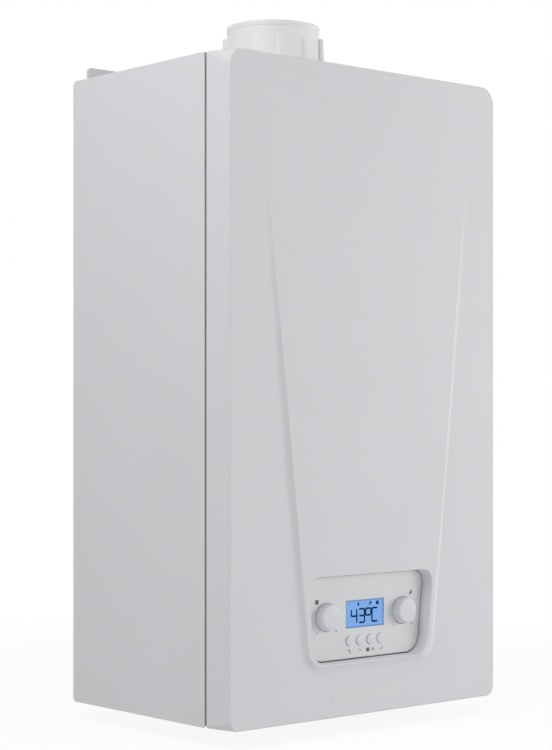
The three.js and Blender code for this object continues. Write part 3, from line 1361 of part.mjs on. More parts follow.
// ---- pipe unions through the bottom plate ----
function pipeUnion() {
  const end = PIPE_SPACE - UNION_DROP;
  const nutTop = PIPE_SPACE - FIT;
  return shaped(
    [
      bar('z', UNION_RADIUS, end, unionTop),
      bar('z', UNION_NUT, nutTop - 12, nutTop, 0, 0, 6),
      bar('z', UNION_RADIUS + 4, plateTop + FIT, unionTop, 0, 0),
    ],
    [bar('z', UNION_BORE, end - 1, unionTop + 1)],
  );
}
const unionNames = [
  'heating_flow_union', 'hot_water_union', 'gas_union', 'cold_water_union',
  'heating_return_union',
];
unionNames.forEach((name, i) => {
  place(boiler, name, pipeUnion(), brass, unionX[i], -UNION_Y, 0);
});

// ---- controls ----
const fasciaY = crestY + FASCIA_DEPTH;
const fasciaBack = fasciaY + FASCIA_THICK;

function fascia() {
  const outline = pocketOutline(-FASCIA_GAP, FASCIA_DEPTH);
  const inside = pocketOutline(-FASCIA_GAP - FASCIA_THICK, FASCIA_DEPTH);
  const rear = boxFront - FIT;
  const [w, h] = [LCD_WIDTH / 2, LCD_HEIGHT / 2];
  const holes = [
    plate(inside, fasciaBack, rear + 1),
    block(-w, w, fasciaY - 1, fasciaBack + 1, LCD_Z - h, LCD_Z + h),
  ];
  for (const sign of [-1, 1]) {
    holes.push(bar('y', 4.2, fasciaY - 1, fasciaBack + 1, sign * KNOB_X, KNOB_Z));
  }
  for (const step of [-1.5, -0.5, 0.5, 1.5]) {
    const x = step * BUTTON_PITCH;
    holes.push(bar('y', BUTTON_RADIUS + BUTTON_GAP, fasciaY - 1, fasciaBack + 1, x, BUTTON_Z, 16));
  }
  return shaped([plate(outline, fasciaY, rear)], holes);
}

const boardY = boxFront + BOARD_STANDOFF;

function controlBox() {
  const [x, wall] = [boxHalf, BOX_WALL];
  const windowHalf = KNOB_X + KNOB_RADIUS;
  const pieces = [block(-x, x, boxFront, boxRear, BOX_BOTTOM, boxTop)];
  const cuts = [
    block(-x + wall, x - wall, boxFront + wall, boxRear + 1, BOX_BOTTOM + wall, boxTop - wall),
    block(-windowHalf, windowHalf, boxFront - 1, boxFront + wall + 1, BUTTON_Z - 12, LCD_Z + 20),
  ];
  const solid = shaped(pieces, cuts);
  const added = [];
  for (const sign of [-1, 1]) {
    const pin = ordered(sign * (x - 1), sign * (x + ARM_CLEAR + ARM_THICK + PIN_END));
    added.push(bar('x', HINGE_PIN, ...pin, hingeY, hingeZ));
    const post = [boxFront + wall / 2, boardY - FIT];
    added.push(bar('y', 4, ...post, sign * (x - 20), BOX_BOTTOM + 20, 12));
    added.push(bar('y', 4, ...post, sign * (x - 20), boxTop - 20, 12));
  }
  return shaped([solid, ...added]);
}

function controlBoxLid() {
  const [x, lip] = [boxHalf, BOX_WALL + FIT];
  const back = boxRear + FIT;
  const rib = [back - LID_RIB, back + LID_THICK / 2];
  const gripTop = boxTop - LID_GRIP_DROP;
  return shaped([
    block(-x, x, back, back + LID_THICK, BOX_BOTTOM, boxTop),
    block(-x + lip, x - lip, ...rib, BOX_BOTTOM + lip, BOX_BOTTOM + lip + LID_THICK),
    block(-x + lip, x - lip, ...rib, boxTop - lip - LID_THICK, boxTop - lip),
    block(-LID_GRIP_HALF, LID_GRIP_HALF, back + 1, back + LID_GRIP, gripTop - LID_GRIP_DROP, gripTop),
  ]);
}

function circuitBoard() {
  const side = boxHalf - BOARD_INSET;
  const [low, high] = [BOX_BOTTOM + BOARD_INSET, boxTop - BOARD_INSET];
  const pieces = [block(-side, side, boardY, boardY + BOARD_THICK, low, high)];
  const back = boardY + BOARD_THICK / 2;
  for (const { x, width, drop, height, depth } of [TRANSFORMER, RELAY, CHIP]) {
    const middle = boxTop - drop;
    const across = [x - width / 2, x + width / 2];
    pieces.push(block(...across, back, back + depth, middle - height / 2, middle + height / 2));
  }
  return shaped(pieces);
}

function display() {
  const [w, h] = [LCD_WIDTH / 2 - FIT, LCD_HEIGHT / 2 - FIT];
  const back = boardY - FIT;
  return shaped([
    block(-w, w, fasciaY + LCD_RECESS, back, -h, h),
    block(-w - LCD_FRAME, w + LCD_FRAME, fasciaBack + FIT, back - LCD_SEAT, -h - LCD_LIP, h + LCD_LIP),
  ]);
}

// Dial with a soft shoulder, an index notch on top and a shaft into the box.
function dial() {
  const shaft = boardY - FIT - fasciaY;
  const profile = [
    [0, -shaft], [3, -shaft], [3, FIT], [KNOB_RADIUS, FIT], [KNOB_RADIUS, 1.2],
    [KNOB_FACE + 0.9, KNOB_HEIGHT - 1.4], [KNOB_FACE, KNOB_HEIGHT - 0.3],
    [KNOB_FACE - 0.9, KNOB_HEIGHT], [0, KNOB_HEIGHT],
  ];
  const body = turned(profile, ROUND).rotateX(Math.PI / 2);
  const notch = block(-0.5, 0.5, -KNOB_HEIGHT - 1, -KNOB_HEIGHT + 0.5, KNOB_FACE - 5, KNOB_FACE);
  return shaped([body], [notch]);
}

function pushButton() {
  const front = -BUTTON_DOME;
  const rear = boardY - fasciaY - BUTTON_TRAVEL - 1;
  const behind = fasciaBack - fasciaY + FIT;
  const profile = [
    [0, -rear], [2, -rear], [2, -behind - 2], [BUTTON_RADIUS + 1, -behind - 2],
    [BUTTON_RADIUS + 1, -behind], [BUTTON_RADIUS, -behind], [BUTTON_RADIUS, 0.2],
    [BUTTON_RADIUS - 1.3, -front * 0.75], [0, -front],
  ];
  return turned(profile, 16).rotateX(Math.PI / 2);
}

place(boiler, 'control_box', controlBox(), blackPlastic);
place(boiler, 'control_box_lid', controlBoxLid(), blackPlastic);
place(boiler, 'circuit_board', circuitBoard(), boardGreen);
place(boiler, 'fascia', fascia(), whitePlastic);
place(boiler, 'display', display(), displayBlue, 0, 0, LCD_Z);
place(boiler, 'knob_heating', dial(), knobPlastic, -KNOB_X, fasciaY, KNOB_Z);
place(boiler, 'knob_hot_water', dial(), knobPlastic, KNOB_X, fasciaY, KNOB_Z);
['button_back', 'button_minus', 'button_mode', 'button_confirm'].forEach((name, i) => {
  place(boiler, name, pushButton(), knobPlastic, (i - 1.5) * BUTTON_PITCH, fasciaY, BUTTON_Z);
});

export default product;
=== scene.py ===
"""Wall-hung combination boiler, with its visible shapes built around the frame.

Lengths are millimetres in the code and metres in Blender. X runs to the right seen from the
front, y into the wall, and h is the height above the casing's bottom edge.
"""

import json
import math

import bmesh
import bpy
from bpy.props import FloatProperty, FloatVectorProperty, PointerProperty
from mathutils import Matrix, Vector


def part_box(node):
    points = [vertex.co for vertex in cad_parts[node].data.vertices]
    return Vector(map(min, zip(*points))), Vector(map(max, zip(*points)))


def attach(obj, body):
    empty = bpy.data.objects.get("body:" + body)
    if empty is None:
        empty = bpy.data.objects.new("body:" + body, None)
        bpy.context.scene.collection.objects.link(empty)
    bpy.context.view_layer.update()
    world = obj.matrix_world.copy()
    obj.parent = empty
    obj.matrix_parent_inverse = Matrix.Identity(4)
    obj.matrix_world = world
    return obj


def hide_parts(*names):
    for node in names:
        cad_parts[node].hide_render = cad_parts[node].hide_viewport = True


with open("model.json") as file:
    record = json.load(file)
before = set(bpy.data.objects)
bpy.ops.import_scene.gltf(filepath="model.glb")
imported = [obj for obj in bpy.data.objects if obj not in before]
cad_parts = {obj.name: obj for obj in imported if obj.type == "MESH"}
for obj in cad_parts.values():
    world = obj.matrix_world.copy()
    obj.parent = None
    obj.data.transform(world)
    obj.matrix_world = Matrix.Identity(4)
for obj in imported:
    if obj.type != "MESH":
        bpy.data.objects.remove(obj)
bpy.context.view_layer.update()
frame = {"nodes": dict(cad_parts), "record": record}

bl_info = {
    "name": "Combination boiler",
    "version": (1, 0, 0),
    "blender": (4, 5, 0),
    "location": "View3D > Sidebar > Boiler",
    "description": "Builds the casing, controls, flue collar and inner works of a wall boiler",
    "category": "Object",
}

MM = 0.001


def extent(name, axis):
    """Lowest and highest place of a frame node along an axis, in millimetres."""
    low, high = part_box(name)
    return low[axis] / MM, high[axis] / MM


# ---- planes and sizes that come from the frame ----
PANEL_FLANGE = 14  # how far a side panel's front flange reaches inwards past its sheet
HALF_WIDTH = -extent("left_side_panel", 0)[0]
SHEET = HALF_WIDTH + extent("left_side_panel", 0)[1] - PANEL_FLANGE
FLOOR_LEVEL, CASING_LEVEL = extent("left_side_panel", 2)
CASE_HEIGHT = CASING_LEVEL - FLOOR_LEVEL
SEAM_Y, CASING_REAR = extent("left_side_panel", 1)
SEAM_GAP = 3  # between the cover's rear edge and the casing
COVER_REAR_Y = SEAM_Y - SEAM_GAP
CREST_Y = extent("front_cover", 1)[0]
FACE_Y = CREST_Y + 4.2  # plane of the cover's face round the raised shield
FASCIA_Y, FASCIA_REAR = extent("fascia", 1)
COLLAR_RIM = extent("flue_collar", 2)[1] - FLOOR_LEVEL
FLUE_Y = sum(extent("flue_duct", 1)) / 2
KNOB_X = sum(extent("knob_hot_water", 0)) / 2
KNOB_H = sum(extent("knob_hot_water", 2)) / 2 - FLOOR_LEVEL
BUTTON_H = sum(extent("button_mode", 2)) / 2 - FLOOR_LEVEL
BUTTON_X = [sum(extent(name, 0)) / 2 for name in
            ("button_back", "button_minus", "button_mode", "button_confirm")]
LCD_H = sum(extent("display", 2)) / 2 - FLOOR_LEVEL

# ---- the shield and the control opening, as heights and half-widths ----
SHIELD_LOW, SHIELD_HIGH = 48, 668  # foot of the shield's flank, below and above
SHIELD_LOW_RISE = 8.4  # height of the flank along the shield's lower edge
SHIELD_CORNERS = 28, 20  # its lower and upper corner radius
FADE_FROM, FADE_LENGTH = 240, 400  # where the raise begins to fade, and over what height
FLARE_FROM, FLARE_RATE = 560, 0.0027  # where the crest flares out, and how fast
CREST_FOOT, CREST_SLOPE, CREST_MOST = 84, 0.1115, 178.0  # its half-width: at 0, rate and limit
POCKET_LOW, POCKET_HIGH = 57.5, 151.8  # lower and upper edge of the control opening
POCKET_HALF_LOW, POCKET_HALF_HIGH = 84.4, 94.6  # its half-width at those edges
POCKET_CORNERS = 20, 14  # its lower and upper corner radius
POCKET_DEPTH = 12  # from the crest to the fascia's face
RIM_FLANGE = 13  # inward flange of the cover and of the seal behind it
CREST_CUTS = range(160, 657, 16)  # heights at which the crest's area is cut to bend

SIDE_STEPS = 36  # points up each side of a ring
ARC_STEPS = 10  # points round each corner
END_STEPS = 8  # points along half of a ring's top or bottom
FOLD_STEPS = 6  # rings round a folded edge


def linear(code, alpha=1.0):
    """Linear colour of an sRGB hex code."""
    parts = [int(code[i:i + 2], 16) / 255 for i in (1, 3, 5)]
    return [c / 12.92 if c <= 0.04045 else ((c + 0.055) / 1.055) ** 2.4 for c in parts] + [alpha]


def at(x, y, h):
    """Point in Blender's metres from millimetres and a height above the casing's bottom."""
    return Vector((x, y, h + FLOOR_LEVEL)) * MM


def length_setting(name, millimetres, about):
    """Length setting of the sidebar panel, given in millimetres."""
    return FloatProperty(name=name, description=about, default=millimetres * MM, unit="LENGTH")


def colour_setting(name, code, about):
    """Colour setting of the sidebar panel, given as an sRGB hex code."""
    return FloatVectorProperty(name=name, description=about, size=4, subtype="COLOR",
                               default=linear(code))


class BoilerSizes(bpy.types.PropertyGroup):
    """Sizes of the visible shapes."""

    high_corner: length_setting("Upper corner", 19, "Radius of the cover's upper corners")
    low_corner: length_setting("Lower corner", 11, "Radius of the cover's lower corners")
    cover_edge: length_setting("Cover edge", 1.7, "Rounding between the cover's face and sides")
    seam_corner: length_setting("Seam corner", 3, "Corner radius of the cover at the seam")
    sheet: length_setting("Sheet", 1.2, "Thickness of the cover's steel")
    shield_raise: length_setting("Shield raise", 3.4, "How far the raised shield stands out")
    shield_flank: length_setting("Shield flank", 8.3, "Width of the shield's sloping edge")
    fascia_gap: length_setting("Fascia gap", 1, "Dark line between fascia and cover")
    knob_radius: length_setting("Dial radius", 15, "Radius of a dial at its base")
    knob_height: length_setting("Dial height", 9, "How far a dial stands out of the fascia")
    button_radius: length_setting("Button radius", 5.5, "Radius of a push button")
    digit_height: length_setting("Digit height", 14.6, "Height of the digits in the display")
    collar_radius: length_setting("Collar radius", 53.5, "Outer radius of the flue collar")


class BoilerColours(bpy.types.PropertyGroup):
    """Colours of the visible finishes."""

    paint: colour_setting("Casing paint", "#e4e5e8", "White powder coat")
    plastic: colour_setting("White plastic", "#e3e3e5", "Moulded fascia and flue collar")
    dial: colour_setting("Dial plastic", "#e0e1e6", "Moulded dials and buttons")
    display: colour_setting("Display", "#6fa8ee", "Backlight of the display")
    segments: colour_setting("Segments", "#183260", "Dark segments of the display")


# ---- shapes ----
def unique(items):
    """The items without repeats and in their order, so that each run builds the same mesh."""
    return list(dict.fromkeys(items))


def outline(half, low, high, radius_low, radius_high):
    """Ring of (x, h) points with rounded corners; half gives the half-width at a height."""
    def lean(height):
        return math.atan((half(height + 1) - half(height - 1)) / 2)

    tilt_low, tilt_high = lean(low + radius_low), lean(high - radius_high)
    start = low + radius_low * (1 - math.sin(tilt_low))
    end = high - radius_high * (1 + math.sin(tilt_high))
    middle_low = half(start) - radius_low * math.cos(tilt_low)
    middle_high = half(end) - radius_high * math.cos(tilt_high)
    right = [(middle_low * k / END_STEPS, low) for k in range(END_STEPS)]
    for k in range(ARC_STEPS + 1):
        angle = (math.pi / 2 - tilt_low) * k / ARC_STEPS
        right.append((middle_low + radius_low * math.sin(angle),
                      low + radius_low * (1 - math.cos(angle))))
    for k in range(1, SIDE_STEPS):
        height = start + (end - start) * k / SIDE_STEPS
        right.append((half(height), height))
    for k in range(ARC_STEPS + 1):
        angle = -tilt_high + (math.pi / 2 + tilt_high) * k / ARC_STEPS
        right.append((middle_high + radius_high * math.cos(angle),
                      high - radius_high * (1 - math.sin(angle))))
    right += [(middle_high * (1 - k / END_STEPS), high) for k in range(1, END_STEPS + 1)]
    return right + [(-x, h) for x, h in reversed(right[1:-1])]


def box_outline(half, low, high, radius):
    """Ring of a rounded rectangle."""
    return outline(lambda height: half, low, high, radius, radius)


def upright(ring, y):
    """Ring of (x, h) points as places at one depth."""
    return [at(x, y, h) for x, h in ring]


def circle(x, y, h, radius, steps=32):
    """Upright circle of places."""
    turns = [2 * math.pi * k / steps for k in range(steps)]
    return [at(x + radius * math.cos(a), y, h + radius * math.sin(a)) for a in turns]


def loop_of(bm, places):
    """Closed loop of new vertices and edges."""
    loop = [bm.verts.new(place) for place in places]
    for here, there in zip(loop, loop[1:] + loop[:1]):
        bm.edges.new((here, there))
    return loop


def extend(bm, loop, *rings):
    """Extrudes a closed loop of vertices from ring to ring; returns the last loop."""
    for places in rings:
        edges = [bm.edges.get(pair) for pair in zip(loop, loop[1:] + loop[:1])]
        grown = bmesh.ops.extrude_edge_only(bm, edges=edges)["geom"]
        fresh = {item for item in grown if isinstance(item, bmesh.types.BMVert)}
        following = []
        for vertex, place in zip(loop, places):
            across = [edge.other_vert(vertex) for edge in vertex.link_edges]
            new = next(other for other in across if other in fresh)
            new.co = place
            following.append(new)
        loop = following
    return loop


def fill(bm, *loops):
    """Fills the flat area between an outer loop and the loops inside it."""
    edges = [bm.edges.get(pair) for loop in loops for pair in zip(loop, loop[1:] + loop[:1])]
    bmesh.ops.triangle_fill(bm, edges=edges, use_beauty=True, use_dissolve=False)


def loft(bm, rings, closed=True):
    """Body through rings of equal count, with both ends filled if it is closed."""
    first = loop_of(bm, rings[0])
    last = extend(bm, first, *rings[1:])
    if closed:
        fill(bm, first)
        fill(bm, last)


def spun(bm, profile, centre, axis, steps=64):
    """Full turn of (radius, distance) points about an axis through the centre."""
    along = Vector(axis).normalized()
    across = along.orthogonal().normalized()
    path = [bm.verts.new(centre + across * r * MM + along * d * MM) for r, d in profile]
    edges = [bm.edges.new(pair) for pair in zip(path, path[1:])]
    bmesh.ops.spin(bm, geom=path + edges, cent=centre, axis=along, dvec=(0, 0, 0),
                   angle=2 * math.pi, steps=steps, use_merge=True, use_duplicate=False)


def slab(bm, low, high, edge=0.0):
    """Box between two corners, with its edges bevelled."""
    low, high = Vector(low), Vector(high)
    made = bmesh.ops.create_cube(bm, size=1.0)["verts"]
    bmesh.ops.scale(bm, vec=high - low, verts=made)
    bmesh.ops.translate(bm, vec=(low + high) / 2, verts=made)
    if edge:
        edges = unique(edge for vertex in made for edge in vertex.link_edges)
        bmesh.ops.bevel(bm, geom=edges, offset=edge * MM, offset_type="OFFSET", segments=2,
                        profile=0.5, affect="EDGES", material=-1)


def stroke(bm, start, end, width, y, lift):
    """Flat bar between two (x, h) points, lifted off the plane y."""
    (x0, h0), (x1, h1) = start, end
    run = math.hypot(x1 - x0, h1 - h0) + width * 0.4
    made = bmesh.ops.create_cube(bm, size=1.0)["verts"]
    bmesh.ops.scale(bm, vec=Vector((run, lift, width)) * MM, verts=made)
    turn = Matrix.Rotation(-math.atan2(h1 - h0, x1 - x0), 3, "Y")
    bmesh.ops.rotate(bm, cent=(0, 0, 0), matrix=turn, verts=made)
    middle = at((x0 + x1) / 2, y - lift / 2, (h0 + h1) / 2)
    bmesh.ops.translate(bm, vec=middle, verts=made)


def strokes(bm, lines, width, centre, y, lift=0.06):
    """Bars along each line of points, given about a centre."""
    cx, ch = centre
    for line in lines:
        points = [(cx + x, ch + h) for x, h in line]
        for start, end in zip(points, points[1:]):
            stroke(bm, start, end, width, y, lift)


def smooth(bm, sharp):
    """Smooth faces, with edges sharper than an angle in degrees kept."""
    for face in bm.faces:
        face.smooth = True
    for edge in bm.edges:
        edge.smooth = edge.calc_face_angle(0) < math.radians(sharp)


def piece(bm, name, body, material, replaced=(), sharp=32, wall=0.0, weighted=True):
    """Finished piece from a bmesh: closed and faces out, smooth, riding its body."""
    bmesh.ops.remove_doubles(bm, verts=bm.verts, dist=0.002 * MM)
    bmesh.ops.dissolve_degenerate(bm, dist=0.002 * MM, edges=bm.edges)
    bmesh.ops.recalc_face_normals(bm, faces=bm.faces)
    smooth(bm, sharp)
    mesh = bpy.data.meshes.new(name)
    bm.to_mesh(mesh)
    bm.free()
    obj = bpy.data.objects.new(name, mesh)
    bpy.context.scene.collection.objects.link(obj)
    mesh.materials.append(material)
    if wall:
        thick = obj.modifiers.new("Sheet", "SOLIDIFY")
        thick.thickness = wall
        thick.offset = -1
    if weighted:
        obj.modifiers.new("Flat faces", "WEIGHTED_NORMAL").keep_sharp = True
    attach(obj, body)
    if replaced:
        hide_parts(*replaced)


# ---- materials ----
def node(tree, kind, inputs=None, **settings):
    """Adds a node with its settings; an input takes a value or another node's output."""
    made = tree.nodes.new(kind)
    for name, value in settings.items():
        setattr(made, name, value)
    for key, value in (inputs or {}).items():
        if isinstance(value, bpy.types.NodeSocket):
            tree.links.new(value, made.inputs[key])
        else:
            made.inputs[key].default_value = value
    return made


def emptied(block):
    """Node tree of a new material or world, with nothing in it."""
    block.use_nodes = True
    block.node_tree.nodes.clear()
    return block.node_tree


def surface(name, colour, roughness, metallic=0.0, ior=None, grain=1.5, relief=0.004,
            mottle=0.03, stretch=(1, 1, 1), coat=0.0):
    """Principled finish with a grain of a real size in millimetres.

    relief is the grain's depth in millimetres, mottle how much it moves the roughness, and
    stretch draws the grain out along an axis for brushed and drawn metal.
    """
    material = bpy.data.materials.new(name)
    tree = emptied(material)
    where = node(tree, "ShaderNodeTexCoord").outputs["Object"]
    along = node(tree, "ShaderNodeMapping", {"Vector": where, "Scale": stretch})
    noise = node(tree, "ShaderNodeTexNoise", {
        "Vector": along.outputs["Vector"], "Scale": 1 / (grain * MM), "Detail": 2.0})
    rough = node(tree, "ShaderNodeMapRange", {
        "Value": noise.outputs["Fac"], "From Min": 0.3, "From Max": 0.7,
        "To Min": roughness - mottle, "To Max": roughness + mottle})
    bump = node(tree, "ShaderNodeBump", {
        "Height": noise.outputs["Fac"], "Strength": 1.0, "Distance": relief * MM})
    broad = node(tree, "ShaderNodeTexNoise", {"Vector": where, "Scale": 9.0, "Detail": 1.0})
    tone = node(tree, "ShaderNodeMapRange", {
        "Value": broad.outputs["Fac"], "To Min": 0.985, "To Max": 1.015})
    base = node(tree, "ShaderNodeVectorMath", {0: list(colour)[:3]}, operation="SCALE")
    tree.links.new(tone.outputs["Result"], base.inputs["Scale"])
    settings = {
        "Base Color": base.outputs["Vector"], "Roughness": rough.outputs["Result"],
        "Metallic": metallic, "Normal": bump.outputs["Normal"], "Coat Weight": coat}
    if ior:
        settings["IOR"] = ior
    shader = node(tree, "ShaderNodeBsdfPrincipled", settings)
    node(tree, "ShaderNodeOutputMaterial", {"Surface": shader.outputs["BSDF"]})
    return material


def backlit(name, colour, strength):
    """Glowing window: a glossy sheet over an even backlight."""
    material = bpy.data.materials.new(name)
    tree = emptied(material)
    where = node(tree, "ShaderNodeTexCoord").outputs["Object"]
    noise = node(tree, "ShaderNodeTexNoise", {"Vector": where, "Scale": 60.0, "Detail": 1.0})
    glow = node(tree, "ShaderNodeMapRange", {
        "Value": noise.outputs["Fac"], "To Min": 0.96 * strength, "To Max": 1.04 * strength})
    shader = node(tree, "ShaderNodeBsdfPrincipled", {
        "Base Color": [c * 0.25 for c in colour[:3]] + [1], "Roughness": 0.25, "IOR": 1.49,
        "Emission Color": colour, "Emission Strength": glow.outputs["Result"]})
    node(tree, "ShaderNodeOutputMaterial", {"Surface": shader.outputs["BSDF"]})
    return material


MATERIALS = {}


def make_materials(colours):
    """Every finish of the boiler, by name."""
    # white epoxy-polyester powder coat: nearly matt, with an orange peel 1.6 mm across
    MATERIALS["powder_coat"] = surface(
        "white powder coat", colours.paint, 0.6, ior=1.5, grain=1.6, relief=0.010, mottle=0.02)
    # injection-moulded ABS: finer and a little smoother than the paint
    MATERIALS["white_abs"] = surface(
        "white moulded ABS", colours.plastic, 0.38, ior=1.53, grain=0.8, relief=0.003)
    # moulded polypropylene of the flue collar: brighter than the paint, faintly waxy
    MATERIALS["white_polypropylene"] = surface(
        "white moulded polypropylene", linear("#f2f2f4"), 0.42, ior=1.49, grain=1.0, relief=0.003)
    # pale moulded ABS of the dials and buttons
    MATERIALS["dial_abs"] = surface(
        "pale moulded ABS", colours.dial, 0.34, ior=1.53, grain=0.8, relief=0.002)
    # EPDM: black, dull, with a moulding texture
    MATERIALS["rubber"] = surface(
        "black EPDM rubber", linear("#1c1c1e"), 0.8, ior=1.52, grain=0.8, relief=0.02)
    # zinc-plated steel: pale cool grey, with faint patches drawn 6 mm wide
    MATERIALS["zinc"] = surface(
        "zinc-plated sheet steel", linear("#cbcdcf"), 0.55, metallic=1.0, grain=6,
        relief=0.01, mottle=0.10)
    # pressure die casting: bright grey, slightly rough
    MATERIALS["cast"] = surface(
        "die-cast aluminium", linear("#b4b6b8"), 0.5, metallic=1.0, grain=1.2, relief=0.05,
        mottle=0.08)
    # drawn and bead-blasted stainless: soft gloss with a fine grain drawn out along z
    MATERIALS["stainless"] = surface(
        "stainless steel sheet", linear("#c9cbcd"), 0.3, metallic=1.0, grain=2.0,
        relief=0.006, mottle=0.08, stretch=(1, 1, 0.08))
    # hot-pressed brass: warm, with a forged skin
    MATERIALS["brass"] = surface(
        "hot-pressed brass", linear("#c9ab5c"), 0.34, metallic=1.0, grain=1.5, relief=0.02,
        mottle=0.08)
    # drawn copper: salmon with darker handling marks
    MATERIALS["copper"] = surface(
        "drawn copper tube", linear("#c58357"), 0.3, metallic=1.0, grain=5, relief=0.004,
        mottle=0.10, stretch=(1, 1, 0.2))
    # stoved red enamel on pressed steel: glossy, slight flow texture
    MATERIALS["red_enamel"] = surface(
        "red stoved enamel", linear("#a5281f"), 0.35, ior=1.5, grain=2.5, relief=0.015, coat=0.3)
    # glass-filled nylon: charcoal, dull sheen
    MATERIALS["black_nylon"] = surface(
        "glass-filled black nylon", linear("#2a2b2e"), 0.55, ior=1.53, grain=0.8, relief=0.02,
        mottle=0.06)
    # plain grey polypropylene: evenly dull
    MATERIALS["grey_polymer"] = surface(
        "grey moulded polypropylene", linear("#8a8d91"), 0.5, ior=1.49, grain=1.0, relief=0.01)
    # coloured nylon of the relief and filling knobs: clear colour, low sheen
    MATERIALS["red_nylon"] = surface(
        "red moulded nylon", linear("#b3261e"), 0.42, ior=1.53, grain=0.8, relief=0.006)
    MATERIALS["blue_nylon"] = surface(
        "blue moulded nylon", linear("#2456a8"), 0.42, ior=1.53, grain=0.8, relief=0.006)
    # glazed alumina: cream white, glossy
    MATERIALS["ceramic"] = surface(
        "glazed alumina ceramic", linear("#e8e2d4"), 0.22, ior=1.6, grain=1.0, relief=0.002)
    # solder resist over copper: green with a soft gloss
    MATERIALS["board"] = surface(
        "green solder resist", linear("#2f6b3e"), 0.4, ior=1.5, grain=1.0, relief=0.02)
    # liquid-crystal display under a clear cover, lit evenly from behind
    MATERIALS["backlight"] = backlit("blue backlit display", list(colours.display), 0.7)
    # the display's shaded rim, where the backlight falls off
    MATERIALS["display_edge"] = backlit("shaded display rim", linear("#5d7fb6"), 0.7)
    # liquid-crystal segments: dark navy against the backlight
    MATERIALS["segments"] = surface(
        "liquid-crystal segments", colours.segments, 0.7, ior=1.1, grain=1.0, relief=0.0005)
    # pad-printed grey ink, matt
    MATERIALS["ink"] = surface(
        "grey pad-printed ink", linear("#55575c"), 0.6, ior=1.45, grain=0.5, relief=0.001)
    # the same ink printed thin, so that it reads paler
    MATERIALS["pale_ink"] = surface(
        "pale pad-printed ink", linear("#8b8d92"), 0.6, ior=1.45, grain=0.5, relief=0.001)


# ---- casing ----
def crest_half(height):
    """Half-width of the shield's crest, flaring out towards the top."""
    flare = max(0.0, height - FLARE_FROM)
    return min(CREST_FOOT + CREST_SLOPE * height + FLARE_RATE * flare ** 2, CREST_MOST)


def shield_raise(height, full):
    """Raise of the shield at a height; it fades out towards the top."""
    fade = min(1.0, max(0.0, (height - FADE_FROM) / FADE_LENGTH))
    return full * (1 - fade ** 2) ** 2


def pocket_outline(grow, depth):
    """Ring of the control opening, grown outwards, at a depth behind the crest.

    Its walls draw in towards the fascia: 3.8 mm at the sides, 1.6 below and 0.5 above.
    """
    share = min(depth, POCKET_DEPTH) / POCKET_DEPTH
    side = grow - 3.8 * share
    low, high = POCKET_LOW - grow + 1.6 * share, POCKET_HIGH + grow - 0.5 * share
    slope = (POCKET_HALF_HIGH - POCKET_HALF_LOW) / (POCKET_HIGH - POCKET_LOW)
    return outline(lambda height: POCKET_HALF_LOW + side + slope * (height - POCKET_LOW),
                   low, high, *[corner + grow for corner in POCKET_CORNERS])


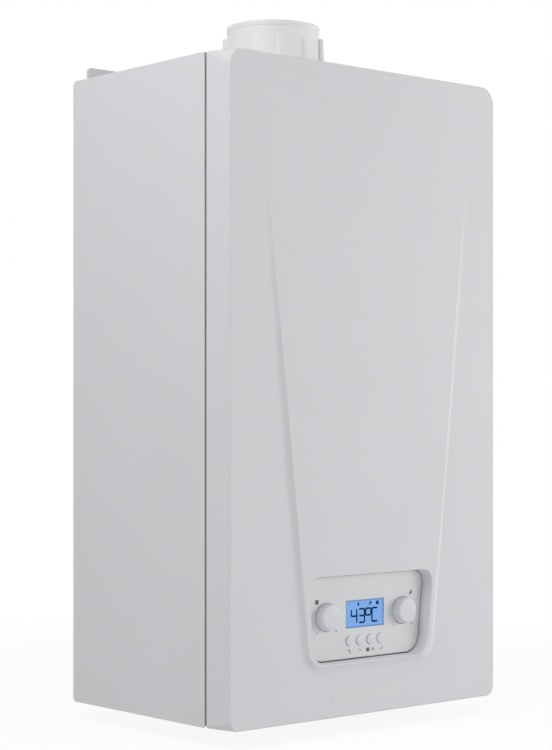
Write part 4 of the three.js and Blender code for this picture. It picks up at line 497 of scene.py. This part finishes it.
class BOILER_OT_cover(bpy.types.Operator):
    """Front cover: pressed steel with a raised shield and an opening for the controls"""

    bl_idname = "boiler.cover"
    bl_label = "Front cover"

    def execute(self, context):
        sizes = context.scene.boiler_sizes
        raised, flank = sizes.shield_raise / MM, sizes.shield_flank / MM
        face = FACE_Y
        sunk = face - raised - CREST_Y
        edge = sizes.cover_edge / MM
        low_corner, high_corner = sizes.low_corner / MM, sizes.high_corner / MM
        seam_corner = sizes.seam_corner / MM

        def casing(inset, share):
            radii = [seam_corner + (corner - seam_corner) * share - inset
                     for corner in (low_corner, high_corner)]
            return outline(lambda height: HALF_WIDTH - inset, inset, CASE_HEIGHT - inset, *radii)

        rings = [upright(box_outline(HALF_WIDTH - RIM_FLANGE, RIM_FLANGE,
                                     CASE_HEIGHT - RIM_FLANGE, 2), COVER_REAR_Y)]
        for k in range(4):
            angle = math.pi / 2 * k / 3
            inset, back = 1 - math.sin(angle), 1 - math.cos(angle)
            rings.append(upright(casing(inset, 0), COVER_REAR_Y - back))
        for k in range(1, 7):
            share = k / 7
            y = COVER_REAR_Y - 1 + (face + edge - COVER_REAR_Y + 1) * share
            rings.append(upright(casing(0, share), y))
        for k in range(FOLD_STEPS + 1):
            angle = math.pi / 2 * k / FOLD_STEPS
            inset = edge * (1 - math.cos(angle))
            rings.append(upright(casing(inset, 1), face + edge * (1 - math.sin(angle))))
        bm = bmesh.new()
        rim = extend(bm, loop_of(bm, rings[0]), *rings[1:])

        def shield(share):
            drawn = flank * share
            return outline(lambda height: crest_half(height) + flank - drawn,
                           SHIELD_LOW + SHIELD_LOW_RISE * share, SHIELD_HIGH - drawn,
                           SHIELD_CORNERS[0] - drawn, SHIELD_CORNERS[1])

        def flank_ring(share):
            lift = share ** 2.2  # hollow at the foot, steepest under the crest
            return [at(x, face - shield_raise(h, raised) * lift, h) for x, h in shield(share)]

        foot = loop_of(bm, flank_ring(0))
        fill(bm, rim, foot)
        crest = extend(bm, foot, *[flank_ring(share) for share in
                                   (0.12, 0.25, 0.4, 0.55, 0.7, 0.82, 0.92, 0.97, 1)])
        lip = 0.6
        mouth = loop_of(bm, upright(pocket_outline(lip, sunk), CREST_Y + sunk))
        earlier = set(bm.faces)
        fill(bm, crest, mouth)
        self.lay(bm, [f for f in bm.faces if f not in earlier], face, raised)
        rounds = []
        for k in range(1, 6):
            angle = math.pi / 2 * k / 5
            grow, depth = lip * (1 - math.sin(angle)), sunk + lip * (1 - math.cos(angle))
            rounds.append(upright(pocket_outline(grow, depth), CREST_Y + depth))
        extend(bm, mouth, *rounds, *[upright(pocket_outline(0, depth), CREST_Y + depth)
                                     for depth in (4, 8, 12, 15)])
        for name in ("cover_screw_left", "cover_screw_right"):
            low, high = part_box(name)
            middle = (low + high) / 2
            middle.z = FLOOR_LEVEL * MM
            self.pierce(bm, middle, (high.x - low.x) / 2 + 0.5 * MM)
        piece(bm, "cover_shell", "front_cover", MATERIALS["powder_coat"],
              ["front_cover"], sharp=60, wall=sizes.sheet)
        self.badge(face)
        return {"FINISHED"}

    def lay(self, bm, faces, face, raised):
        """Cuts the crest's area at even heights and lays it on the fading raise."""
        for height in CREST_CUTS:
            edges = unique(edge for each in faces for edge in each.edges)
            verts = unique(vertex for each in faces for vertex in each.verts)
            cut = bmesh.ops.bisect_plane(bm, geom=[*faces, *edges, *verts], dist=1e-6,
                                         plane_co=at(0, 0, height), plane_no=(0, 0, 1))
            faces = [item for item in cut["geom"] if isinstance(item, bmesh.types.BMFace)]
        for vertex in unique(vertex for each in faces for vertex in each.verts):
            height = vertex.co.z / MM - FLOOR_LEVEL
            vertex.co.y = (face - shield_raise(height, raised)) * MM

    def pierce(self, bm, centre, radius):
        """Round hole in the flat underside, for a screw's head."""
        reach = radius + 0.5 * MM
        near = [each for each in bm.faces
                if all(abs(v.co.z - centre.z) < 1e-6 for v in each.verts)
                and all(min(v.co[axis] for v in each.verts) < centre[axis] + reach
                        and max(v.co[axis] for v in each.verts) > centre[axis] - reach
                        for axis in (0, 1))]
        edges = unique(edge for each in near for edge in each.edges)
        rim = [edge for edge in edges if sum(each in near for each in edge.link_faces) == 1]
        bmesh.ops.delete(bm, geom=near, context="FACES_ONLY")
        inner = [edge for edge in edges if edge not in rim]
        bmesh.ops.delete(bm, geom=inner, context="EDGES")
        turns = [2 * math.pi * k / 32 for k in range(32)]
        hole = loop_of(bm, [centre + Vector((math.cos(a), math.sin(a), 0)) * radius
                            for a in turns])
        ring = [bm.edges.get(pair) for pair in zip(hole, hole[1:] + hole[:1])]
        bmesh.ops.triangle_fill(bm, edges=rim + ring, use_beauty=True, use_dissolve=False)

    def badge(self, face):
        """Bare name strip on the cover."""
        bm = bmesh.new()
        low, high = extent("badge_plate", 2)
        half = extent("badge_plate", 0)[1]
        low, high = low - FLOOR_LEVEL, high - FLOOR_LEVEL
        rings = [upright(box_outline(half - inset, low + inset, high - inset, 2 - inset), y)
                 for inset, y in ((0, face + 0.2), (0, face - 0.15), (0.2, face - 0.3))]
        loft(bm, rings)
        piece(bm, "name_strip", "front_cover", MATERIALS["white_abs"],
              ["badge_plate"])


class BOILER_OT_casing(bpy.types.Operator):
    """Side panels with rounded rear corners and a folded front flange"""

    bl_idname = "boiler.casing"
    bl_label = "Side panels"

    def execute(self, context):
        for side, name in ((-1, "left"), (1, "right")):
            self.panel(side, name)
        return {"FINISHED"}

    def panel(self, side, name):
        """One side panel, its outer edge rounded."""
        edge, rear_corner, front_corner = 1.0, 5, 1.2
        middle = (SEAM_Y + CASING_REAR) / 2
        reach = (CASING_REAR - SEAM_Y) / 2

        def ring(x, inset):
            rear, front = [box_outline(reach - inset, inset, CASE_HEIGHT - inset, corner - inset)
                           for corner in (rear_corner, front_corner)]
            return [at(side * x, middle + y, h) for y, h in
                    [behind if behind[0] > 0 else before for behind, before in zip(rear, front)]]

        rings = [ring(HALF_WIDTH - SHEET, 0.25), ring(HALF_WIDTH - edge, 0)]
        for k in range(1, 5):
            angle = math.pi / 2 * k / 4
            rings.append(ring(HALF_WIDTH - edge * (1 - math.sin(angle)),
                              edge * (1 - math.cos(angle))))
        bm = bmesh.new()
        loft(bm, rings)
        inside = HALF_WIDTH - SHEET + 0.1
        left, right = sorted((side * (inside - RIM_FLANGE), side * inside))
        slab(bm, at(left, SEAM_Y, 2), at(right, SEAM_Y + SHEET, CASE_HEIGHT - 2), 0.4)
        piece(bm, f"{name}_panel_skin", "casing", MATERIALS["powder_coat"],
              [f"{name}_side_panel"])


class BOILER_OT_collar(bpy.types.Operator):
    """Flue collar with its rim band and four clip pads"""

    bl_idname = "boiler.collar"
    bl_label = "Flue collar"

    def execute(self, context):
        radius = context.scene.boiler_sizes.collar_radius / MM
        foot, rim = CASE_HEIGHT + 0.3, COLLAR_RIM
        bore, flange, band = radius - 3, 68, 5.6
        bm = bmesh.new()
        spun(bm, [
            (bore, foot), (flange - 0.6, foot), (flange, foot + 0.6), (flange, foot + 3.4),
            (flange - 0.6, foot + 4), (radius + 1.6, foot + 4), (radius + 0.6, foot + 5),
            (radius + 0.2, foot + 30), (radius - 0.5, rim - band - 0.8),
            (radius - 0.5, rim - band - 0.2), (radius - 0.2, rim - band),
            (radius, rim - band + 0.4), (radius, rim - 1.2), (radius - 0.35, rim - 0.35),
            (radius - 1.2, rim), (bore + 1, rim), (bore + 0.3, rim - 0.3), (bore, rim - 1),
            (bore, rim - 4), (bore + 1.5, rim - 4), (bore + 1.5, rim - 10.6),
            (bore, rim - 10.6), (bore, foot),
        ], at(0, FLUE_Y, 0), (0, 0, 1), steps=96)
        for angle in (21, 131, 221, 311):
            self.pad(bm, math.radians(angle), radius, foot)
        piece(bm, "collar_shell", "casing", MATERIALS["white_polypropylene"],
              ["flue_collar"], sharp=35)
        return {"FINISHED"}

    def pad(self, bm, angle, radius, foot):
        """One pad: a curved block standing on the collar's flange."""
        half = math.asin(13 / (radius + 4.8))
        steps = 8
        out, top = radius + 4.4, foot + 53.4  # its outer face, and its upper end

        def ring(height, lean, edge):
            inner, outer = radius - 0.8, out + lean - edge
            spread = half - edge / out
            arc = [spread * (2 * k / steps - 1) for k in range(steps + 1)]
            places = [(outer, a) for a in arc] + [(inner, a) for a in reversed(arc)]
            # turned from the front towards the left
            return [at(-r * math.sin(angle + a), FLUE_Y - r * math.cos(angle + a), height)
                    for r, a in places]

        loft(bm, [ring(foot + 3, 1.8, 0), ring(top - 1, 0, 0), ring(top - 0.3, 0, 0.3),
                  ring(top, 0, 1)])


class BOILER_OT_seal(bpy.types.Operator):
    """Rubber seal in the seam between the cover and the casing"""

    bl_idname = "boiler.seal"
    bl_label = "Seam seal"

    def execute(self, context):
        front, rear = extent("case_gasket", 1)
        middle = (front + rear) / 2
        rings = []
        for inset, y in ((RIM_FLANGE, rear), (2.2, rear), (1.4, middle + 0.5), (1.2, middle),
                         (1.4, middle - 0.5), (2.2, front), (RIM_FLANGE, front),
                         (RIM_FLANGE, rear)):
            rings.append(upright(box_outline(HALF_WIDTH - inset, inset, CASE_HEIGHT - inset,
                                             2.0), y))
        bm = bmesh.new()
        loft(bm, rings, closed=False)
        piece(bm, "seam_seal", "casing", MATERIALS["rubber"], ["case_gasket"])
        return {"FINISHED"}


# ---- controls ----
class BOILER_OT_fascia(bpy.types.Operator):
    """Fascia with its display window and button holes"""

    bl_idname = "boiler.fascia"
    bl_label = "Fascia"

    def execute(self, context):
        sizes = context.scene.boiler_sizes
        gap, edge = sizes.fascia_gap / MM, 1.6
        y = FASCIA_Y

        def rim(inset):
            """Ring of the fascia's edge; the gap round it is narrower along the top."""
            return [(x, h + gap * 0.6 * (h > KNOB_H))
                    for x, h in pocket_outline(-gap - inset, POCKET_DEPTH)]

        bm = bmesh.new()
        outer = loop_of(bm, upright(rim(edge), y))
        half_x, half_h = 28.5, 15
        hole = sizes.button_radius / MM + 0.2
        window = loop_of(bm, upright(
            box_outline(half_x + 0.5, LCD_H - half_h - 0.5, LCD_H + half_h + 0.5, 1), y))
        holes = [loop_of(bm, circle(x, y, BUTTON_H, hole + 0.4)) for x in BUTTON_X]
        seat = sizes.knob_radius / MM + 0.6
        knobs = [loop_of(bm, circle(x, y, KNOB_H, seat, 72)) for x in (-KNOB_X, KNOB_X)]
        fill(bm, outer, window, *holes, *knobs)
        rounds = []
        for k in range(1, 5):
            angle = math.pi / 2 * k / 4
            rounds.append(upright(rim(edge * (1 - math.sin(angle))),
                                  y + edge * (1 - math.cos(angle))))
        extend(bm, outer, *rounds, upright(rim(0), FASCIA_REAR))
        extend(bm, window,
               upright(box_outline(half_x + 0.15, LCD_H - half_h - 0.15, LCD_H + half_h + 0.15,
                                   0.7), y + 0.15),
               upright(box_outline(half_x, LCD_H - half_h, LCD_H + half_h, 0.6), y + 0.5),
               upright(box_outline(half_x, LCD_H - half_h, LCD_H + half_h, 0.6), y + 2.2))
        for x, loop in zip(BUTTON_X, holes):
            extend(bm, loop, circle(x, y + 0.12, BUTTON_H, hole + 0.12),
                   circle(x, y + 0.4, BUTTON_H, hole), circle(x, y + 2.2, BUTTON_H, hole))
        for x, loop in zip((-KNOB_X, KNOB_X), knobs):
            extend(bm, loop, circle(x, y + 0.1, KNOB_H, seat - 0.1, 72),
                   circle(x, y + 1.4, KNOB_H, seat - 0.1, 72), circle(x, y + 1.4, KNOB_H, 5, 72),
                   circle(x, y + 2.2, KNOB_H, 5, 72))
        piece(bm, "fascia_moulding", "control_box", MATERIALS["white_abs"],
              ["fascia"], sharp=34)
        self.printing(y)
        return {"FINISHED"}

    def printing(self, y):
        """Generic symbols printed on the fascia."""
        row = 67.9  # height of the marks under the buttons
        dark, pale = bmesh.new(), bmesh.new()
        radiator(dark, (-KNOB_X - 14, KNOB_H + 17), y, 4.2)
        tap(dark, (KNOB_X + 13, KNOB_H + 18.5), y, 4.6)
        radiator(dark, (3.9, row), y, 3.6)
        for x in (-KNOB_X, KNOB_X):
            strokes(pale, [[(-1.2, 0), (1.2, 0)]], 0.7, (x - 14, KNOB_H - 16), y)
            strokes(pale, [[(-1.3, 0), (1.3, 0)], [(0, -1.3), (0, 1.3)]], 0.7,
                    (x + 14, KNOB_H - 16), y)
        hook = [(1.5 * math.cos(a), -0.4 + 1.5 * math.sin(a))
                for a in (math.radians(-130 + 20 * k) for k in range(12))]
        strokes(pale, [hook + [(-1.5, 1.2)], [(-0.5, 2.4), (-1.8, 1.2), (-0.5, 0.1)]],
                0.7, (BUTTON_X[0], row), y)
        strokes(pale, [[(-2.2, 0), (2.2, 0)]], 0.8, (BUTTON_X[1], row + 0.6), y)
        strokes(pale, [[(0, 0.7), (-1.9, 0.7), (-1.9, -0.7), (0, -0.7)],
                       [(0, 1.7), (2.6, 0), (0, -1.7), (0, 1.7)]], 0.6, (11.4, row), y)
        strokes(pale, [[(-1.7, 0), (-0.5, -1.5), (2.0, 1.9)]], 0.75, (BUTTON_X[3] + 1, row), y)
        for bm, name, ink in ((dark, "printed_signs", "ink"), (pale, "printed_marks", "pale_ink")):
            piece(bm, name, "control_box", MATERIALS[ink], weighted=False)


def radiator(bm, centre, y, size):
    """Sign of a panel radiator: close upright bars."""
    bars = [[(size * (k / 4 - 0.5), -size / 2), (size * (k / 4 - 0.5), size / 2)]
            for k in range(5)]
    rails = [[(-size / 2, h), (size / 2, h)] for h in (-size * 0.36, size * 0.36)]
    strokes(bm, bars, size * 0.2, centre, y)
    strokes(bm, rails, size * 0.2, centre, y)


def tap(bm, centre, y, size):
    """Sign of a water tap."""
    s = size
    strokes(bm, [
        [(0.45 * s, 0.08 * s), (-0.38 * s, 0.08 * s), (-0.38 * s, -0.5 * s)],
        [(0.1 * s, 0.08 * s), (0.1 * s, 0.48 * s)], [(-0.12 * s, 0.5 * s), (0.36 * s, 0.5 * s)],
        [(0.12 * s, -0.02 * s), (0.12 * s, -0.28 * s)],
    ], s * 0.24, centre, y)


class BOILER_OT_display(bpy.types.Operator):
    """Backlit display with its digits and signs"""

    bl_idname = "boiler.display"
    bl_label = "Display"

    def execute(self, context):
        tall = context.scene.boiler_sizes.digit_height / MM
        y = extent("display", 1)[0]
        half_x, half_h = 28.3, 14.8
        bm = bmesh.new()
        slab(bm, at(-half_x, y, LCD_H - half_h), at(half_x, y + 4, LCD_H + half_h), 0.15)
        slab(bm, at(-half_x - 3, y + 2, LCD_H - half_h - 2),
             at(half_x + 3, y + 5, LCD_H + half_h + 2), 0.3)
        piece(bm, "display_window", "control_box", MATERIALS["backlight"],
              ["display"])
        bm = bmesh.new()
        wide, thick = 8.0, 2.0
        bottom = LCD_H - half_h + 5.0
        left = -half_x
        # each figure's left edge in the window, and its lit segments
        figures = ((8.7, "bcfg"), (20.2, "abcdg"), (30.0, "abfg"), (39.6, "adef"))
        for x, lit in figures:
            self.figure(bm, left + x, bottom, wide, tall, thick, lit, y)
        signs_h = LCD_H + half_h - 4.6  # height of the signs over the figures
        flame = [[(-0.9, -1.2), (-1.1, 0.1), (0, 1.9), (1.1, 0.1), (0.9, -1.2), (-0.9, -1.2)],
                 [(0, -1.1), (0, 0.8)]]
        strokes(bm, flame, 0.8, (left + 19, signs_h), y)
        tap(bm, (left + 37, signs_h), y, 4.0)
        radiator(bm, (left + 47.6, signs_h), y, 3.8)
        piece(bm, "display_figures", "control_box", MATERIALS["segments"],
              weighted=False)
        bm = bmesh.new()
        edge_x, edge_h = half_x - 0.6, half_h - 0.6
        strokes(bm, [[(-edge_x, -edge_h), (edge_x, -edge_h), (edge_x, edge_h),
                      (-edge_x, edge_h), (-edge_x, -edge_h)]], 1.4, (0, LCD_H), y, 0.04)
        piece(bm, "display_border", "control_box", MATERIALS["display_edge"],
              weighted=False)
        return {"FINISHED"}

    def figure(self, bm, x, h, wide, tall, thick, lit, y):
        """Seven-segment figure; its segments are named a to g."""
        gap = thick * 0.25
        middle = tall / 2
        ends = {
            "a": ((gap, tall), (wide - gap, tall)), "d": ((gap, 0), (wide - gap, 0)),
            "g": ((gap, middle), (wide - gap, middle)),
            "b": ((wide, middle + gap), (wide, tall - gap)),
            "c": ((wide, gap), (wide, middle - gap)),
            "e": ((0, gap), (0, middle - gap)), "f": ((0, middle + gap), (0, tall - gap)),
        }
        strokes(bm, [ends[name] for name in lit], thick, (x, h), y)


class BOILER_OT_dials(bpy.types.Operator):
    """Two dials and four push buttons"""

    bl_idname = "boiler.dials"
    bl_label = "Dials and buttons"

    def execute(self, context):
        sizes = context.scene.boiler_sizes
        for name, x in (("knob_heating", -KNOB_X), ("knob_hot_water", KNOB_X)):
            self.dial(name, x, sizes.knob_radius / MM, sizes.knob_height / MM)
        names = ("button_back", "button_minus", "button_mode", "button_confirm")
        for name, x in zip(names, BUTTON_X):
            self.button(name, x, sizes.button_radius / MM)
        return {"FINISHED"}

    def dial(self, name, x, radius, height):
        """One dial with a soft shoulder and a small index line."""
        bm = bmesh.new()
        face = radius - 2.2
        spun(bm, [
            (0, -8), (2.8, -8), (2.8, -0.9), (radius - 0.3, -0.9), (radius, -0.6),
            (radius, 0.6), (radius - 0.15, 1.2), (face + 0.75, height - 1.6),
            (face + 0.45, height - 0.8), (face - 0.2, height - 0.2), (face - 1.0, height),
            (0, height),
        ], at(x, FASCIA_Y, KNOB_H), (0, -1, 0), steps=72)
        piece(bm, f"{name}_cap", name, MATERIALS["dial_abs"], [name], sharp=40)
        bm = bmesh.new()
        strokes(bm, [[(0, face - 4.5), (0, face - 1.6)]], 0.9, (x, KNOB_H),
                FASCIA_Y - height, 0.12)
        piece(bm, f"{name}_index", name, MATERIALS["dial_abs"], weighted=False)

    def button(self, name, x, radius):
        """One push button, its face nearly flat."""
        bm = bmesh.new()
        spun(bm, [
            (0, -6), (1.9, -6), (1.9, -3), (radius, -3), (radius, 0.7), (radius - 0.12, 0.95),
            (radius - 0.45, 1.08), (radius - 2, 1.16), (0, 1.2),
        ], at(x, FASCIA_Y, BUTTON_H), (0, -1, 0), steps=40)
        piece(bm, f"{name}_cap", name, MATERIALS["dial_abs"], [name], sharp=40)


# ---- inner works ----
def front_of(name, centre, radius):
    """Foremost place of a frame node below an axis along y, outside a radius."""
    obj = frame["nodes"][name]
    places = [obj.matrix_world @ vertex.co for vertex in obj.data.vertices]
    return min(p.y for p in places if p.z < centre.z
               and math.hypot(p.x - centre.x, p.z - centre.z) > radius * MM) / MM


def axis_of(name):
    """Centre of a frame node's box."""
    low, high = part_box(name)
    return (low + high) / 2


def heads(bm, centre, y, radius, turns, size, rise):
    """Six-sided heads on washers, standing on a plane y round an axis along y."""
    sides = [2 * math.pi * k / 6 for k in range(6)]
    washer = size * 1.25
    for turn in turns:
        angle = math.radians(turn)
        place = Vector((centre.x + radius * MM * math.cos(angle), y * MM,
                        centre.z + radius * MM * math.sin(angle)))
        loft(bm, [
            [place + Vector((across * math.cos(a), -lift, across * math.sin(a))) * MM
             for a in sides]
            for across, lift in ((washer, -0.1), (washer, 0.7), (size, 0.7), (size, rise - 0.4),
                                 (size - 0.4, rise))])


class BOILER_OT_fastenings(bpy.types.Operator):
    """Clamp bands, nuts and screws on the burner door, the fan and the pump"""

    bl_idname = "boiler.fastenings"
    bl_label = "Bands, nuts and screws"

    def execute(self, context):
        cell, fan, pump = axis_of("burner"), axis_of("fan_impeller"), axis_of("pump_impeller")
        door = front_of("burner_door", cell, 85)
        plate = front_of("fan_housing", fan, 40)
        flange = front_of("pump_motor", pump, 38)
        self.band("door_band", cell, door, extent("burner_door", 0)[1], 9)
        self.band("fan_band", fan, plate, extent("fan_housing", 0)[1] - fan.x / MM, 6)
        bm = bmesh.new()
        heads(bm, cell, door, 84, (20, 95, 145, 200, 250, 305), 4.6, 5)
        heads(bm, fan, plate, 47, range(15, 360, 60), 3.0, 3)
        heads(bm, pump, flange, 37, range(45, 360, 90), 2.0, 3)
        piece(bm, "fastenings", "casing", MATERIALS["zinc"])
        return {"FINISHED"}

    def band(self, name, centre, y, radius, deep):
        """Rolled band round a rim, its lip lapping over the front."""
        bm = bmesh.new()
        clear, out = radius + 0.15, radius + 1.1
        spun(bm, [
            (radius - 3, -0.05), (radius - 3, -0.85), (out - 0.5, -0.85), (out, -0.35),
            (out, deep - 0.4), (out - 0.4, deep), (clear, deep), (clear, -0.05),
            (radius - 3, -0.05),
        ], Vector((centre.x, y * MM, centre.z)), (0, 1, 0), steps=96)
        piece(bm, name, "casing", MATERIALS["stainless"], sharp=50)


# ---- pieces kept from the frame ----
FINISH_OF_SLOT = {
    "casing_paint": "powder_coat", "zinc_steel": "zinc", "white_plastic": "white_abs",
    "knob_plastic": "dial_abs", "seal_rubber": "rubber", "cast_aluminium": "cast",
    "stainless_steel": "stainless", "ceramic": "ceramic", "black_plastic": "black_nylon",
    "grey_plastic": "grey_polymer", "brass_parts": "brass", "copper_pipe": "copper",
    "vessel_red": "red_enamel", "red_plastic": "red_nylon", "blue_plastic": "blue_nylon",
    "display_blue": "backlight", "circuit_green": "board",
}


class BOILER_OT_frame_finishes(bpy.types.Operator):
    """Real finishes and softened edges on the frame pieces that stay"""

    bl_idname = "boiler.frame_finishes"
    bl_label = "Finishes of the frame pieces"

    def execute(self, context):
        for part in frame["record"]["subparts"]:
            obj = frame["nodes"][part["node"]]
            obj.data.materials.clear()
            obj.data.materials.append(MATERIALS[FINISH_OF_SLOT[part["material_slot"]]])
            for polygon in obj.data.polygons:
                polygon.use_smooth = True
            weld = obj.modifiers.new("Merged", "WELD")
            weld.merge_threshold = 0.01 * MM
            edges = obj.modifiers.new("Soft edges", "BEVEL")
            edges.width = 0.4 * MM
            edges.segments = 2
            edges.limit_method = "ANGLE"
            edges.angle_limit = math.radians(52)
            edges.use_clamp_overlap = True
            obj.modifiers.new("Flat faces", "WEIGHTED_NORMAL")
        return {"FINISHED"}


# ---- stage ----
class BOILER_OT_stage(bpy.types.Operator):
    """Pale floor, soft lamps, white surroundings and the camera"""

    bl_idname = "boiler.stage"
    bl_label = "Stage"

    def execute(self, context):
        self.floor()
        self.surroundings(context.scene)
        self.lamp("front lamp", (2.4, -1.72, -0.5), (0.0, -0.28, -0.38), 1.85, 56)
        self.lamp("side lamp", (-1.15, -0.45, 0.72), (-0.2, -0.15, -0.3), 0.6, 7.9)
        self.camera(context.scene)
        context.scene.view_settings.view_transform = "Standard"
        return {"FINISHED"}

    def seen(self, tree, first, *others):
        """Output that is 1 for any of the named kinds of ray, and 0 for the rest."""
        light = node(tree, "ShaderNodeLightPath")
        found = light.outputs[first]
        for other in others:
            found = node(tree, "ShaderNodeMath", {0: found, 1: light.outputs[other]},
                         operation="MAXIMUM").outputs["Value"]
        return found

    def floor(self):
        """Floor that is white where it is lit and keeps the shadow."""
        bm = bmesh.new()
        bmesh.ops.create_grid(bm, x_segments=1, y_segments=1, size=20)
        bmesh.ops.translate(bm, vec=at(0, 0, -20), verts=bm.verts)
        mesh = bpy.data.meshes.new("floor")
        bm.to_mesh(mesh)
        bm.free()
        obj = bpy.data.objects.new("floor", mesh)
        bpy.context.scene.collection.objects.link(obj)
        material = bpy.data.materials.new("white studio floor")
        tree = emptied(material)
        seen = self.seen(tree, "Is Camera Ray", "Is Glossy Ray")
        paint = node(tree, "ShaderNodeBsdfDiffuse", {"Color": linear("#f0f0f0")})
        dim = node(tree, "ShaderNodeBsdfDiffuse", {"Color": linear("#7c7c7c")})
        glow = node(tree, "ShaderNodeEmission", {"Color": (1, 1, 1, 1), "Strength": 0.82})
        both = node(tree, "ShaderNodeAddShader", {
            0: dim.outputs["BSDF"], 1: glow.outputs["Emission"]})
        # the shadow's grey gives way to pure white with the distance from the frame's origin
        where = node(tree, "ShaderNodeTexCoord").outputs["Object"]
        away = node(tree, "ShaderNodeVectorMath", {0: where}, operation="LENGTH")
        far = node(tree, "ShaderNodeMapRange", {
            "Value": away.outputs["Value"], "From Min": 0.45, "From Max": 1.2})
        white = node(tree, "ShaderNodeEmission", {"Color": (1, 1, 1, 1), "Strength": 1.0})
        shown = node(tree, "ShaderNodeMixShader", {
            0: far.outputs["Result"], 1: both.outputs["Shader"], 2: white.outputs["Emission"]})
        chosen = node(tree, "ShaderNodeMixShader", {
            0: seen, 1: paint.outputs["BSDF"], 2: shown.outputs["Shader"]})
        node(tree, "ShaderNodeOutputMaterial", {"Surface": chosen.outputs["Shader"]})
        mesh.materials.append(material)

    def surroundings(self, scene):
        """Soft white room, pure white where it is seen or mirrored."""
        world = bpy.data.worlds.new("white studio")
        tree = emptied(world)
        seen = self.seen(tree, "Is Camera Ray", "Is Glossy Ray", "Is Transmission Ray")
        strength = node(tree, "ShaderNodeMapRange", {
            "Value": seen, "To Min": 0.42, "To Max": 1.0})
        sky = node(tree, "ShaderNodeBackground", {
            "Color": (1, 1, 1, 1), "Strength": strength.outputs["Result"]})
        node(tree, "ShaderNodeOutputWorld", {"Surface": sky.outputs["Background"]})
        scene.world = world

    def lamp(self, name, place, target, size, power):
        """Square area lamp aimed at a place, in metres and watts."""
        data = bpy.data.lights.new(name, "AREA")
        data.shape = "SQUARE"
        data.size = size
        data.energy = power
        obj = bpy.data.objects.new(name, data)
        bpy.context.scene.collection.objects.link(obj)
        obj.location = place
        aim = Vector(target) - Vector(place)
        obj.rotation_euler = aim.to_track_quat("-Z", "Y").to_euler()

    def camera(self, scene):
        """Camera at the photograph's place, level, with a vertical shift."""
        data = bpy.data.cameras.new("camera")
        data.sensor_width = 36
        data.lens = 89.84
        data.shift_y = 0.0461
        obj = bpy.data.objects.new("camera", data)
        scene.collection.objects.link(obj)
        obj.location = (-1.4080, -1.7494, -0.35045)
        obj.rotation_euler = (math.radians(90), 0, math.radians(-40.88))
        scene.camera = obj


OPERATORS = (
    BOILER_OT_frame_finishes, BOILER_OT_cover, BOILER_OT_casing, BOILER_OT_collar,
    BOILER_OT_seal, BOILER_OT_fascia, BOILER_OT_display, BOILER_OT_dials,
    BOILER_OT_fastenings, BOILER_OT_stage,
)


class BOILER_PT_panel(bpy.types.Panel):
    """Panel that lists the boiler's operators and sizes"""

    bl_idname = "BOILER_PT_panel"
    bl_label = "Combination boiler"
    bl_space_type = "VIEW_3D"
    bl_region_type = "UI"
    bl_category = "Boiler"

    def draw(self, context):
        for operator in OPERATORS:
            self.layout.operator(operator.bl_idname)
        for group in (context.scene.boiler_sizes, context.scene.boiler_colours):
            for name in type(group).__annotations__:
                self.layout.prop(group, name)


CLASSES = (BoilerSizes, BoilerColours, *OPERATORS, BOILER_PT_panel)


def register():
    for each in CLASSES:
        bpy.utils.register_class(each)
    bpy.types.Scene.boiler_sizes = PointerProperty(type=BoilerSizes)
    bpy.types.Scene.boiler_colours = PointerProperty(type=BoilerColours)


def unregister():
    del bpy.types.Scene.boiler_colours
    del bpy.types.Scene.boiler_sizes
    for each in reversed(CLASSES):
        bpy.utils.unregister_class(each)


def main():
    register()
    make_materials(bpy.context.scene.boiler_colours)
    for operator in OPERATORS:
        group, name = operator.bl_idname.split(".")
        getattr(getattr(bpy.ops, group), name)()


if __name__ == "__main__":
    main()
